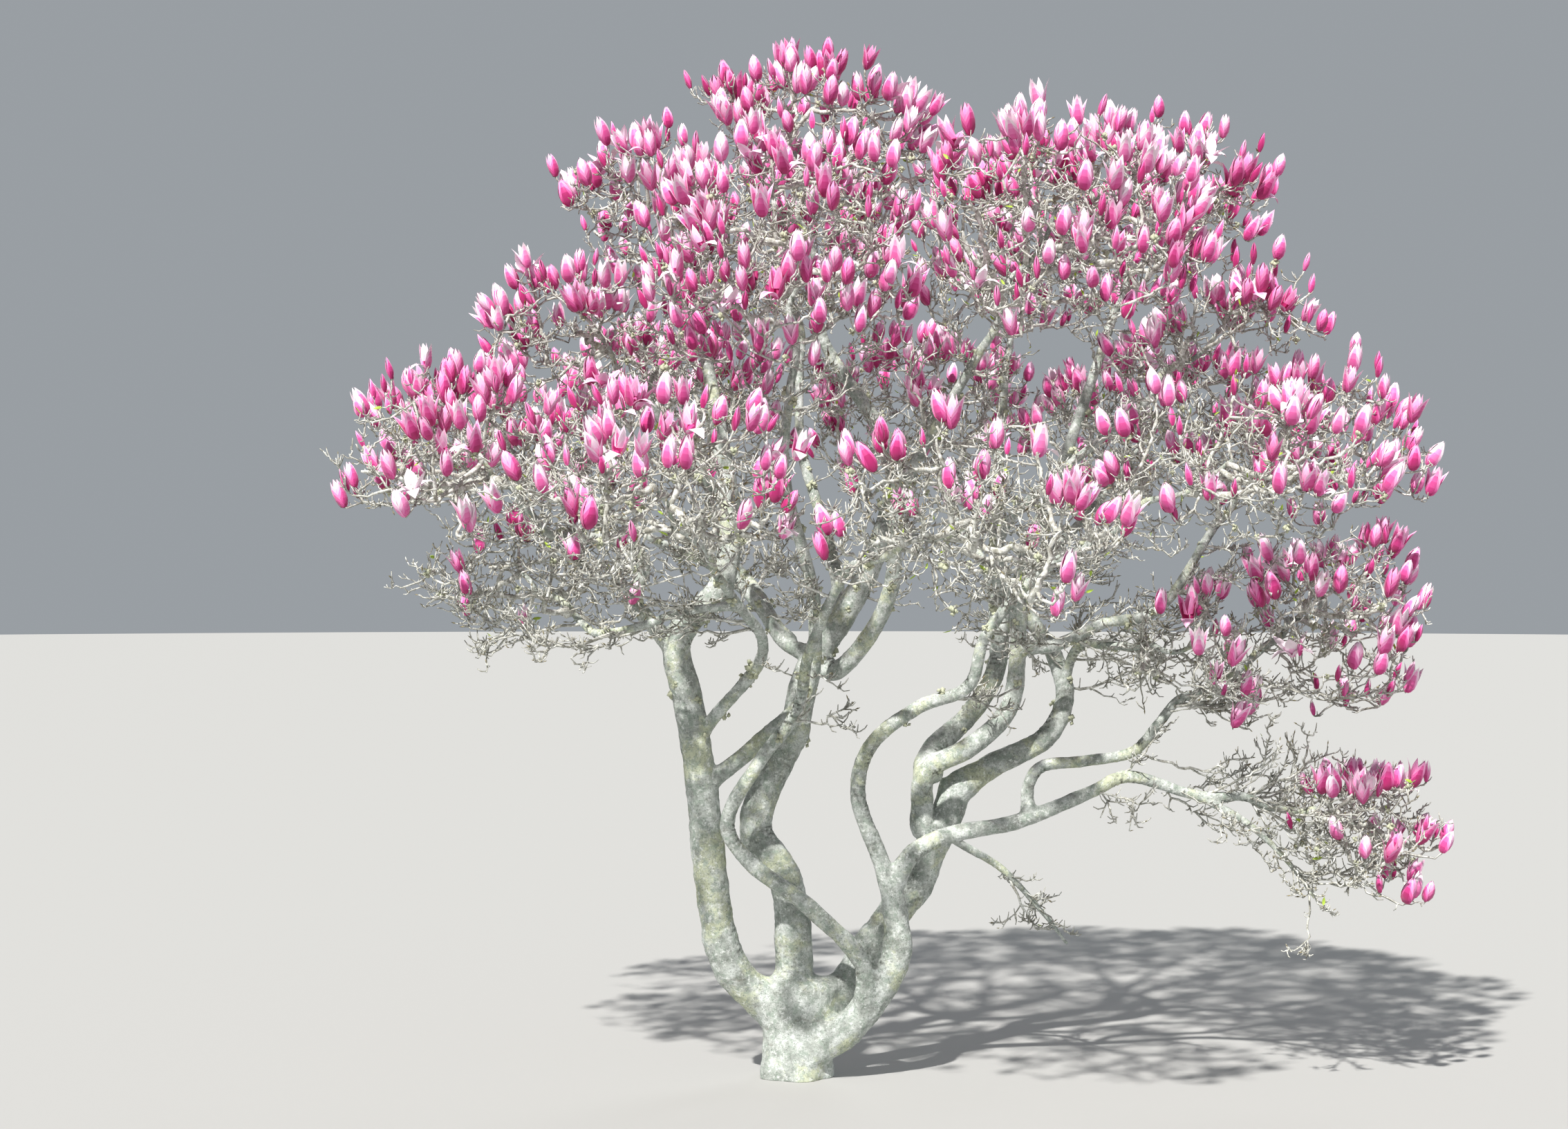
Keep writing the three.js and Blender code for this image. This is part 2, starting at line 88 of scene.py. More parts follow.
# Limbs: the limb each springs from, its thickness at both ends, the mass it
# carries and the places it passes, as (right, back, up) of the plumb line
STEP = 150
TIP = 30
STEM_TAPER = 2
BOUGH_TAPER = 1.1
LIMBS = [
    ("stem_left", "trunk", 122, TIP, "crown_upper_4",
     [(-85, -5, 215), (-255, -40, 401), (-312, -75, 690), (-343, -110, 1000), (-385, -140, 1290),
      (-428, -165, 1500), (-384, -178, 1585), (-284, -178, 1690), (-252, -165, 1812),
      (-244, -150, 1943), (-268, -120, 2121)]),
    ("stem_middle", "trunk", 124, 104, None,
     [(-30, 8, 225), (-30, 5, 500), (-58, 0, 680), (-160, 0, 850), (-120, 0, 1010), (-22, 0, 1200)]),
    ("stem_middle_upper", "stem_middle", 104, TIP, "crown_top",
     [(20, 0, 1400), (155, 0, 1613), (250, 10, 1800), (318, 20, 2130), (74, 0, 2560)]),
    ("stem_right", "trunk", 108, 80, None,
     [(40, -45, 90), (150, -70, 168), (262, -88, 310), (325, -95, 440), (302, -100, 700)]),
    ("stem_back", "trunk", 126, 108, None,
     [(60, 38, 165), (112, 50, 240), (205, 70, 377), (318, 90, 545), (398, 102, 645),
      (452, 115, 770), (512, 128, 890), (545, 135, 1010)]),
    ("stem_front", "stem_right", 64, TIP, "crown_rim_8",
     [(216, -128, 300), (206, -150, 410), (31, -158, 600), (-190, -165, 770), (-255, -185, 890),
      (-134, -225, 1123), (-20, -265, 1275), (20, -380, 1476), (150, -620, 1760)]),
    ("bough_left_outer", "stem_left", 60, TIP, "crown_rim_6",
     [(-525, -180, 1590), (-572, -184, 1655), (-540, -188, 1760), (-570, -198, 1832),
      (-700, -230, 1862), (-850, -285, 1880)]),
    ("bough_left_front", "stem_left", 48, TIP, "crown_rim_7",
     [(-288, -190, 1270), (-149, -300, 1438), (-135, -400, 1530), (-210, -520, 1640)]),
    ("bough_left_low", "bough_left_front", 30, 26, "crown_low_left",
     [(-380, -500, 1622), (-565, -470, 1564), (-690, -420, 1550)]),
    ("bough_left_middle", "stem_left", 60, TIP, "crown_upper_5",
     [(-242, -112, 1085), (-110, -120, 1200), (12, -135, 1322), (40, -250, 1640), (-60, -420, 2080)]),
    ("bough_middle_right", "stem_middle_upper", 66, TIP, "crown_upper_6",
     [(110, -50, 1406), (235, -130, 1540), (302, -210, 1700), (330, -330, 2000)]),
    ("bough_middle_left", "stem_middle_upper", 54, TIP, "crown_rim_5",
     [(-55, 40, 1500), (-166, 90, 1651), (-317, 130, 1774), (-480, 190, 1840)]),
    ("bough_middle_back", "stem_middle_upper", 50, TIP, "crown_upper_3",
     [(130, 90, 1680), (90, 200, 1880), (0, 350, 2200)]),
    ("bough_back_left", "bough_middle_left", 48, TIP, "crown_rim_4",
     [(-90, 120, 1560), (-150, 330, 1665), (-290, 620, 1850)]),
    ("bough_inner_left", "bough_middle_left", 36, TIP, "crown_inner_left",
     [(-235, 120, 1790), (-225, 90, 1900)]),
    ("limb_rising", "stem_right", 60, TIP, "crown_rim_9",
     [(262, -112, 782), (190, -135, 990), (228, -170, 1150), (390, -220, 1290), (560, -270, 1365),
      (612, -310, 1530), (780, -400, 1742)]),
    ("limb_long", "stem_right", 64, 28, "crown_right_foot",
     [(380, -112, 785), (511, -120, 850), (727, -130, 893), (1000, -140, 1003), (1104, -140, 1050),
      (1365, -130, 982), (1520, -125, 978), (1600, -120, 945)]),
    ("limb_long_upper", "limb_long", 44, 28, "crown_right_low",
     [(774, -120, 1010), (815, -112, 1078), (965, -105, 1100), (1139, -100, 1134), (1226, -95, 1230),
      (1295, -92, 1310), (1417, -90, 1352)]),
    ("limb_long_lower", "limb_long", 30, 16, None,
     [(1430, -150, 945), (1487, -162, 914), (1591, -175, 830), (1680, -185, 730), (1745, -190, 640)]),
    ("limb_back", "stem_back", 88, TIP, "crown_rim_2",
     [(665, 160, 1061), (878, 210, 1169), (940, 250, 1300), (910, 300, 1445), (810, 380, 1650)]),
    ("bough_drooping", "stem_back", 34, 14, None,
     [(560, 150, 790), (708, 190, 698), (864, 220, 530), (948, 235, 422)]),
    ("limb_upright", "stem_back", 80, TIP, "crown_upper_1",
     [(430, 92, 850), (422, 84, 940), (438, 64, 1055), (588, 50, 1138), (722, 45, 1270),
      (754, 40, 1470), (760, 30, 1720), (900, 30, 2100)]),
    ("limb_behind", "limb_upright", 82, TIP, "crown_upper_2",
     [(455, 130, 1110), (600, 200, 1246), (690, 235, 1390), (715, 270, 1640), (700, 330, 1880)]),
    ("bough_right", "limb_upright", 46, TIP, "crown_rim_1",
     [(888, 35, 1495), (1050, 30, 1570), (1230, 25, 1610)]),
    ("bough_right_low", "limb_back", 40, TIP, "crown_thicket", [(984, 190, 1485), (1080, 90, 1490)]),
    ("bough_back", "limb_behind", 52, TIP, "crown_rim_3",
     [(705, 330, 1500), (690, 520, 1730), (600, 760, 1930)]),
    ("bough_inner_right", "limb_upright", 38, TIP, "crown_inner_right",
     [(700, -40, 1720), (690, -60, 1880)]),
]
GOES_ON = ("stem_middle_upper",)

# Masses in rings: count, middle, reach of the hearts, half sizes, roll, lean up
# to the back and down to the front, sprays
RINGS = [
    ("crown_top", 1, (-20, 0, 3170), (0, 0), (640, 600, 450), 0, 0, 16),
    ("crown_upper", 6, (390, 0, 2900), (800, 780), (570, 570, 460), 60, 60, 13),
    ("crown_rim", 9, (250, 0, 2170), (1400, 1210), (600, 580, 410), 55, 220, 13),
    ("crown_inner_left", 1, (-700, -60, 2560), (0, 0), (470, 470, 400), 0, 0, 8),
    ("crown_inner_right", 1, (1420, -80, 2570), (0, 0), (470, 470, 400), 0, 0, 8),
    ("crown_thicket", 1, (1330, -60, 1490), (0, 0), (400, 420, 330), 0, 0, 7),
    ("crown_right_low", 1, (1780, -70, 1640), (0, 0), (400, 440, 420), 0, 0, 12),
    ("crown_right_foot", 1, (1920, -110, 890), (0, 0), (320, 380, 310), 0, 0, 9),
    ("crown_low_left", 1, (-950, -200, 1740), (0, 0), (500, 450, 300), 0, 0, 8),
]
ROLL_TURN = 2.4
ROLL_START = 1
FIRST_SEED = 4021
SPACE_MARGIN = 14
STRIDE = 10
LEAST_STEM = 90
LEAST_BOUGH = 60
GAP = 0.3

# Main twigs of a mass, as its solids have them
STEM_THICK = (26, 21.5, 17)
STEM_PAST = 0.1
STEM_WANDER = 24
STEM_WAVES = 1.3
STEM_SHIFTS = (0.1, 0.4, 0.8)
TWIG_THICK = 14
STEM_KNOTS = (0.3, 0.55, 0.8)
TWIG_KNOTS = (0.5, 0.8)
END_KNOTS = (0.35,)
BEND_AT = 0.55
SAG = 0.12
RISE = 30
SHORTEST = 60
STEEPEST = 0.3
SWERVE = 0.6
CLEAR = 5
LEAVE = 45
LOWEST = -0.5
SHELL = 0.86
DRAW_IN = 0.08
INNERMOST = 0.5
TRY_LIMIT = 14
OUTWARD = 0.45
UPWARD = 0.18
SPRAY_HEIGHT = 150
SPRAY_SPACING = 125
GOBLET_SHARE = 0.7
GOBLET = {"wide": 0.36, "tall": 1.0, "edge": 0}
SAUCER = {"wide": 0.6, "tall": 0.56, "edge": 4}

# Blossoms of a wide spray, of a slim one and at the side of a mass: the chance of
# each kind, the span of sizes, how far the twig to one may reach, how gnarled it is
KINDS = ("egg", "closed", "bud", "half_open", "flopped", "open")
BLOOM = {
    "saucer": ((0.12, 0.14, 0.06, 0.34, 0.20, 0.14), (0.86, 1.1), (0, math.inf), 2.6),
    "goblet": ((0.26, 0.24, 0.17, 0.24, 0.08, 0.01), (0.86, 1.1), (0, math.inf), 2.6),
    "side": ((0.26, 0.20, 0.32, 0.17, 0.05, 0.0), (0.82, 1.08), (25, 240), 3.0),
}
KIND_HEIGHT = {"egg": 96, "closed": 102, "bud": 71, "half_open": 101, "flopped": 100, "open": 80}
TINTS = (-2, -1, 0, 0, 1, 1, 2)
ROOT_BELOW = 25

# Where a mass blooms: how full it is, the side it blooms on, the heights of its
# tiers, and how far inside its edge the foot of a blossom has to be
FULLNESS = {
    "crown_thicket": 0.75, "crown_low_left": 0.2, "crown_right_foot": 0.85, "crown_right_low": 0.65,
    "crown_rim_1": 0.6, "crown_rim_6": 0.6, "crown_rim_7": 0.65, "crown_rim_8": 0.5, "crown_rim_9": 0.68,
}
BLOOM_TOWARD = {"crown_thicket": (0.8, -0.25, 0.55)}
BLOOM_FROM = 0.2
TIERS = {"crown_right_foot": (1085, 910, 740)}
TIER_SPAN = 34
INSIDE = 8
BELOW_HANGING = -40

# Sprays: how many blossoms by height, their spiral, how they drop, slope, splay
# and bow outward, and the least distance between their tops
SPRAY_FEWEST = 1
SPRAY_MOST = 6.4
SPRAY_GAIN = (0.2, 1.05)
SPRAY_WIDE = 34
SPRAY_WIDENS = 24
SPRAY_TURN = 2.4
SPRAY_DROP = 50
SPRAY_SLOPE = 0.2
SPRAY_SPLAY = 0.32 / 90
SPRAY_BOW = 8
BLOSSOM_SPACING = 44

# Blossoms between the sprays: places tried, their distance apart and from the
# heart, and how low they may be, from -1 to 1, on the inner and the outer side
SIDE_FOR_SPRAY = 16
UPPER_MORE = 2.2
HANGING_MORE = 3
SIDE_SPACING = 60
HANGING_SPACING = 78
SIDE_SHARE = (0.72, 1.0)
SIDE_UPWARD = 1.1
UPPER = "crown_upper"
DROOPING = "crown_rim_9"
HANGING = ("crown_rim_1", "crown_right_low", "crown_thicket", "crown_right_foot")
LOW_INNER = (0, 0.4)
LOW_OUTER = (-0.2, 0.3)
LOW_UPPER = (-0.95, -0.3)
LOW_DROOPING = (-0.7, -0.2)
LOW_HANGING = -0.95
OUTER_FROM = 0.3
UPPER_OUTER_FROM = -0.2
UPPER_TURNED_DOWN = 0.6

# Small things: the chance of one, how far it strays from its way, its lengths
SPROUTS = {
    "twig_bud": (0.35, 0, (12, 20)), "fork_bud": (0.4, 0, (11, 18)), "spur_bud": (0.06, 0, (9, 16)),
    "twig_leaf": (0.03, 0.5, (22, 38)), "spur_leaf": (0.006, 6, (18, 32)), "tuft": (0.012, 0, (14, 26)),
}
SCALE_STRAYS = 0.45
SCALE_LENGTHS = (14, 24)
SIDE_SCALES = 0.6
TUFTS_PER_METRE = 9
TUFT_LENGTHS = (16, 32)
TUFTED_FROM = 1150

# Bare growth: how much there is, how a twig bends and swings, how gnarled it is,
# and its radius by kind: at the start, gained with its load, at the end
BARE_FOR_SPRAY = 30
BARE_MORE = {"crown_low_left": 1.8, "crown_right_foot": 1.3, "crown_rim_7": 1.3, "crown_rim_8": 1.3,
             "crown_thicket": 0.75}
BARE_REACH = (35, 260)
BARE_SHARE = (0.3, 0.8)
BARE_SHARE_LEVEL = (0.35, 0.97)
BARE_INSIDE = 6
BOUGHS_FOR_SPRAY = 0.4
BOUGH_RISE = (-0.35, 0.1)
BOUGH_SHARE = (0.6, 0.85)
BOUGH_INSIDE = 15
BOUGH_ASIDE = 0.12
BOUGH_SAG = 1.6 * SAG
BARE_SAG = 1.2 * SAG
SPUR_EVERY = 30
SPUR_LENGTHS = (12, 46)
SPUR_RADII = (3.0, 2.5, 1.7)
TWIG_STEP = 22
TWIG_STEPS = (3, 18)
LEAD = 0.4
SWING_LENGTH = 120
SWING = 0.018
MAIN_PAST = 35
GNARL = {"main": 4.4, "bough": 6.5, "bare": 4.4, "fork": 4.2}
THICKNESS = {"bough": (9, 0.8, 5.5), "main": (3.8, 0.75, 3.8), "blooming": (3.5, 0.4, 3.2),
             "bare": (3, 0.65, 2.4)}
BLOSSOM_FOOT = 4.0
UNEVEN = 0.13

# Bare shoots straight from a limb: how many on a metre, the share of the limb
# where they begin, their least and greatest length
SHOOTS = {
    "stem_left": (8, 0.55, 80, 320), "bough_left_low": (30, 0.15, 90, 360),
    "bough_left_outer": (18, 0.3, 90, 340), "bough_left_front": (14, 0.4, 80, 300),
    "bough_left_middle": (10, 0.4, 80, 300),
    "stem_middle_upper": (8, 0.25, 90, 320), "bough_middle_right": (11, 0.4, 80, 300),
    "bough_middle_left": (18, 0.3, 90, 340), "bough_middle_back": (12, 0.3, 90, 340),
    "bough_back_left": (14, 0.3, 90, 340), "bough_inner_left": (14, 0.3, 70, 240),
    "stem_front": (9, 0.6, 80, 300), "limb_rising": (13, 0.45, 90, 330), "limb_long": (20, 0.5, 110, 420),
    "limb_long_upper": (26, 0.4, 110, 440), "limb_long_lower": (34, 0.1, 70, 260),
    "limb_back": (13, 0.35, 90, 340), "bough_right_low": (22, 0.1, 120, 420),
    "bough_drooping": (18, 0.3, 60, 240), "limb_upright": (9, 0.45, 90, 320),
    "limb_behind": (10, 0.4, 90, 320), "bough_right": (16, 0.2, 90, 360),
    "bough_back": (12, 0.3, 90, 340), "bough_inner_right": (14, 0.3, 70, 240),
}
FORK_LEVELS = 2
FORK_EVERY = 75
FORK_SHARE = (0.28, 0.6)
SHOOTS_END = 0.98
UP = np.array([0.0, 0.0, 1.0])
LEVEL = (1, 1, 0)
FLATTER = (0.9, 0.9, 0.3)

# Ways that hardly any axis has, from which turns about an axis are measured
SPRAY_SIDE = (0.3, 0.9, 0.1)
TUBE_SIDE = (0.31, -0.93, 0.2)
COPY_SIDE = (0.2, 0.95, 0.15)

# How far a blossom or twig may be outside the box of the solids, and the tree's middle
PAST_BOX = 45
ROOM = np.array(cad_box) / MM + np.array([[-PAST_BOX], [PAST_BOX]])
TREE_HEART = np.array([270.0, 0.0, 2200.0])


def unit(v):
    return v / np.linalg.norm(v)


def unit_rows(rows):
    return rows / np.maximum(np.linalg.norm(rows, axis=-1, keepdims=True), 1e-9)


def mix(a, b, t):
    return a + (b - a) * t


def columns_of(rows):
    return [np.array(column) for column in zip(*rows)]


def place(point):
    return np.array(point, float) + (PLUMB_X, 0, 0)


def seeded(seed):
    """Draws the same numbers between 0 and 1 on each run."""
    state = seed
    full = 0xFFFFFFFF

    def draw():
        nonlocal state
        state = (state + 0x6D2B79F5) & full
        t = ((state ^ (state >> 15)) * (state | 1)) & full
        t ^= (t + (((t ^ (t >> 7)) * (t | 61)) & full)) & full
        return ((t ^ (t >> 14)) & full) / 4294967296

    return draw


class Way:
    """A smooth line through points, read by share of its length."""

    def __init__(self, points):
        points = np.array(points, float)
        self.row = np.vstack([2 * points[0] - points[1], points, 2 * points[-1] - points[-2]])
        self.spans = len(points) - 1
        self.times = np.linspace(0, 1, 201)
        strides = np.linalg.norm(np.diff(self.at_time(self.times), axis=0), axis=1)
        self.far = np.concatenate([[0], np.cumsum(strides)])
        self.length = self.far[-1]

    def at_time(self, t):
        p = np.asarray(t, float) * self.spans
        i = np.minimum(p.astype(int), self.spans - 1)
        w = (p - i)[:, None]
        a, b, c, d = (self.row[i + k] for k in range(4))
        root = [np.sqrt(np.linalg.norm(q - p, axis=1))[:, None] for p, q in ((a, b), (b, c), (c, d))]
        da, db, dc = (np.where(r < 1e-4, root[1], r) for r in root)
        m1 = ((b - a) / da - (c - a) / (da + db) + (c - b) / db) * db
        m2 = ((c - b) / db - (d - b) / (db + dc) + (d - c) / dc) * db
        return b + m1 * w + (3 * (c - b) - 2 * m1 - m2) * w**2 + (2 * (b - c) + m1 + m2) * w**3

    def at(self, shares):
        return self.at_time(np.interp(np.asarray(shares) * self.length, self.far, self.times))


# The spaces of the masses

def ring_of_masses(name, count, middle, reach, half, roll, lean, sprays):
    rows = []
    for k in range(count):
        turn = 2 * math.pi * k / count
        heart = place((
            middle[0] + reach[0] * math.cos(turn),
            middle[1] + reach[1] * math.sin(turn),
            middle[2] + lean * math.sin(turn) + roll * math.sin(ROLL_TURN * k + ROLL_START),
        ))
        label = f"{name}_{k + 1}" if count > 1 else name
        rows.append({"name": label, "heart": heart, "half": np.array(half, float), "sprays": sprays})
    return rows


masses = [mass for ring in RINGS for mass in ring_of_masses(*ring)]
for mass in masses:
    mass["fullness"] = FULLNESS.get(mass["name"], 1)
    others = np.array([other["heart"] for other in masses if other is not mass]) - mass["heart"]
    mass["far"] = np.linalg.norm(others, axis=1)
    mass["ways"] = others / mass["far"][:, None]


def in_room(p):
    """Whether a place lies in the box of the solids, or hardly outside it."""
    return bool(np.all(p > ROOM[0]) and np.all(p < ROOM[1]))


def in_space(mass, p, margin):
    """Whether a place lies in the space of a mass, a margin inside its edge."""
    out = p - mass["heart"]
    if np.linalg.norm(out / (mass["half"] - margin)) > 1:
        return False
    return bool(np.all(mass["ways"] @ out < mass["far"] / 2 - margin - SPACE_MARGIN))


def may_bloom(mass, top, base):
    """Whether a blossom from its base to its top has its place in a mass."""
    if not in_space(mass, top, 0) or not in_room(top):
        return False
    if not in_space(mass, base, BELOW_HANGING if mass["name"] in HANGING else INSIDE):
        return False
    if all(abs(top[2] - tier) > TIER_SPAN for tier in TIERS.get(mass["name"], (top[2],))):
        return False
    toward = BLOOM_TOWARD.get(mass["name"])
    return toward is None or float((top - mass["heart"]) @ toward) > BLOOM_FROM * mass["half"][0]


def place_in(mass, out, share):
    """The place a way out from the heart of a mass, at a share of its half size."""
    return mass["heart"] + out * mass["half"] * share


def entry_of(mass, start):
    """Where a bough that comes from a place enters the mass, and its way there."""
    way = mass["heart"] - start
    length = np.linalg.norm(way)
    way = way / length
    back = 0
    while back < length - LEAST_BOUGH and in_space(mass, mass["heart"] - way * back, TIP / 2):
        back += STRIDE
    return mass["heart"] - way * max(back - STRIDE, LEAST_STEM), way


# Limbs

def root_on(line, p):
    nearest = int(np.argmin(np.linalg.norm(line - p, axis=1)))
    return mix(line[max(nearest - 1, 0)], line[nearest], 0.75)


limbs = {}
pieces = []
for name, parent, thick, thin, to, way in LIMBS:
    path = [place(p) for p in way]
    if name in GOES_ON:
        last = limbs[parent]["line"][-2:]
        path.insert(0, last[1] + unit(last[1] - last[0]) * GAP)
    elif parent in limbs:
        path.insert(0, root_on(limbs[parent]["line"], path[0]))
    mass = next((one for one in masses if one["name"] == to), None)
    if mass:
        mass["entry"] = entry_of(mass, path[-1])
        path.append(mass["entry"][0])
    curve = Way(path)
    count = max(3, round(curve.length / STEP))
    line = curve.at(np.linspace(0, 1, count + 1))
    taper = STEM_TAPER if parent == "trunk" else BOUGH_TAPER
    limbs[name] = {"parent": parent, "curve": curve, "line": line, "thick": (thick, thin), "taper": taper,
                   "mass": mass}
    widths = mix(thick, thin, (np.arange(count + 1) / count) ** taper)
    pieces += [(line[i], line[i + 1], widths[i] / 2) for i in range(count)]


# Growth of a mass

def apart(a, b, c, d):
    """Least distances from the straight piece a, b to each of the pieces from c to d."""
    u, v, w = b - a, d - c, a - c
    uu, uv, vv, uw, vw = u @ u, v @ u, (v * v).sum(1), w @ u, (w * v).sum(1)
    det = uu * vv - uv * uv
    s = np.where(det > 1e-9, np.clip((uv * vw - vv * uw) / np.where(det > 1e-9, det, 1), 0, 1), 0)
    t = np.clip((uv * s + vw) / vv, 0, 1)
    s = np.clip((uv * t - uw) / uu, 0, 1)
    return np.linalg.norm(w + s[:, None] * u - t[:, None] * v, axis=1)


def touches(rows, piece):
    a, b, r = piece
    starts, ends, radii = columns_of(rows)
    return bool(np.any(apart(a, b, starts, ends) < radii + r + CLEAR))


def spread(k, shift):
    steps = (0.8191725134, 0.6710436067, 0.5497004779)
    return [(0.5 + step * k + shift[i]) % 1 for i, step in enumerate(steps)]


def top_for(mass, out, axis, shape, share):
    tall = shape["tall"] * SPRAY_HEIGHT
    s = share
    while s > INNERMOST:
        top = place_in(mass, out, s)
        waist = top - axis * tall / 2
        if in_space(mass, top, shape["edge"]) and in_space(mass, waist, shape["wide"] * SPRAY_HEIGHT):
            return top
        s -= DRAW_IN
    return None


def nearest_knot(knots, p):
    best, least = None, math.inf
    for knot in knots:
        span = p - knot["at"]
        price = np.linalg.norm(span) * (1 + SWERVE) - SWERVE * (span @ knot["way"])
        if not knot["taken"] and price < least:
            best, least = knot, price
    return best


def add_knots(knots, a, b, shares):
    way = unit(b - a)
    knots += [{"at": mix(a, b, share), "way": way, "taken": False} for share in shares]


def pieces_of(twig):
    tall = twig["shape"]["tall"] * SPRAY_HEIGHT
    root, bend, base, axis = twig["root"], twig["bend"], twig["base"], twig["axis"]
    leave = LEAVE / np.linalg.norm(base - root)
    return [
        (mix(root, base, leave), bend, TWIG_THICK / 2),
        (bend, base, TWIG_THICK / 2),
        (base + axis * 0.3 * tall, base + axis * 0.7 * tall, twig["shape"]["wide"] * SPRAY_HEIGHT),
    ]


def main_twig(mass, k, shift, shape, knots, tops):
    p, q, share = spread(k, shift)
    high = mix(LOWEST, 1, p)
    wide = math.sqrt(1 - high * high)
    turn = 2 * math.pi * q
    out = np.array([wide * math.cos(turn), wide * math.sin(turn), high])
    axis = unit(np.array([OUTWARD * out[0], OUTWARD * out[1], 1 + UPWARD * abs(high)]))
    top = top_for(mass, out, axis, shape, mix(SHELL, 1, share))
    if top is None or any(np.linalg.norm(other - top) < SPRAY_SPACING for other in tops):
        return None
    base = top - axis * shape["tall"] * SPRAY_HEIGHT
    knot = nearest_knot(knots, base)
    length = np.linalg.norm(base - knot["at"])
    bend = mix(knot["at"], base, BEND_AT)
    bend[2] = min(bend[2] - SAG * length, base[2] - RISE)
    steep = unit(base - bend) @ axis < STEEPEST
    if length < SHORTEST or steep or not in_space(mass, bend, TWIG_THICK):
        return None
    return {"root": knot["at"], "bend": bend, "base": base, "axis": axis, "shape": shape, "knot": knot,
            "top": top, "high": high}


def main_twigs(mass, index):
    """The stem of a mass and the twigs that its solid has, as the same rule gives them."""
    random = seeded(FIRST_SEED + index)
    shift = [random(), random(), random()]
    at, way = mass["entry"]
    foot = at + way * GAP
    reach = np.linalg.norm(mass["heart"] - foot)
    knee = foot + way * 0.5 * reach
    end = mass["heart"] + way * STEM_PAST * reach
    taken = [(foot, knee, STEM_THICK[0] / 2), (knee, end, STEM_THICK[1] / 2)]
    knots, twigs, tops = [], [], []
    add_knots(knots, foot, knee, STEM_KNOTS)
    add_knots(knots, knee, end, STEM_KNOTS)
    for k in range(TRY_LIMIT * mass["sprays"]):
        if len(tops) >= mass["sprays"]:
            break
        shape = SAUCER if random() > GOBLET_SHARE else GOBLET
        twig = main_twig(mass, k, shift, shape, knots, tops)
        if twig is None or any(touches(pieces, one) or touches(taken, one) for one in pieces_of(twig)):
            continue
        taken += pieces_of(twig)
        twigs.append(twig)
        tops.append(twig["top"])
        twig["knot"]["taken"] = True
        add_knots(knots, twig["root"], twig["bend"], TWIG_KNOTS)
        add_knots(knots, twig["bend"], twig["base"], END_KNOTS)
    return np.array([foot, knee, end]), twigs


def twig_path(root, bend, base, axis, rough, rng):
    """A gnarled line from a root by a bend to a base, which it meets along the axis."""
    length = np.linalg.norm(bend - root) + np.linalg.norm(base - bend)
    steps = int(np.clip(round(length / TWIG_STEP), *TWIG_STEPS))
    lead = base - axis * LEAD * np.linalg.norm(base - bend)
    t = np.linspace(0, 1, steps + 1)[:, None]
    path = (1 - t) ** 3 * root + 3 * (1 - t) ** 2 * t * bend + 3 * (1 - t) * t * t * lead + t**3 * base
    hold = np.sqrt(np.sin(np.pi * t))
    swing = np.sin(2 * np.pi * (t * length / SWING_LENGTH + rng.random(3))) * rng.normal(0, SWING * length, 3)
    return path + hold * (swing + rng.normal(0, rough, path.shape))


class Growth:
    """Twigs on a limb or in a mass: each a path with the twig it springs from, and knots for more."""

    def __init__(self, path, kind, rng, mass=None):
        self.rng, self.mass = rng, mass
        self.paths, self.parents, self.kinds, self.tops = [], [], [], []
        self.knots = np.zeros((0, 3))
        self.ways = np.zeros((0, 3))
        self.owners = np.zeros(0, int)
        self.add(path, 0, kind)

    def add(self, path, parent, kind):
        self.paths.append(path)
        self.parents.append(parent)
        self.kinds.append(kind)
        mine = len(self.paths) - 1
        self.knots = np.vstack([self.knots, path[1:-1]])
        self.ways = np.vstack([self.ways, unit_rows(path[2:] - path[:-2])])
        self.owners = np.concatenate([self.owners, np.full(len(path) - 2, mine)])
        return mine

    def reach(self, root, tip, axis, owner, kind, rough, sag=SAG, aside=0):
        """Adds a twig that sags on its way from a root to a tip."""
        bend = mix(root, tip, BEND_AT) - UP * sag * np.linalg.norm(tip - root) + aside
        path = twig_path(root, bend, tip, axis, rough, self.rng)
        return self.add(path, owner, kind), path

    def nearest(self, p, swerve, owner=None):
        span = p - self.knots
        price = np.linalg.norm(span, axis=1) * (1 + swerve) - swerve * (span * self.ways).sum(1)
        if owner is not None:
            price = price + np.where(self.owners == owner, 0, 1e6)
        best = int(np.argmin(price))
        return self.knots[best], int(self.owners[best])

    def loads(self):
        load = np.ones(len(self.paths))
        for i in range(len(self.paths) - 1, 0, -1):
            load[self.parents[i]] += load[i]
        return load


# Rows of (kind, base, axis, size, tint, group), and of (spot, way, length)
blossoms = []
buds = []
scales = []
leaves = []
tufts = []


def across(way, rng):
    """Any way at a right angle to another."""
    return unit(np.cross(way, rng.normal(0, 1, 3)))


def sprout(rows, kind, spot, way, rng):
    """Adds a small thing at a spot, if chance has it."""
    chance, strays, lengths = SPROUTS[kind]
    if rng.random() < chance:
        aim = way + rng.normal(0, strays, 3) if strays else way
        rows.append((spot, unit(aim), rng.uniform(*lengths)))


def add_scale(spot, axis, rng):
    scales.append((spot, unit(axis + rng.normal(0, SCALE_STRAYS, 3)), rng.uniform(*SCALE_LENGTHS)))


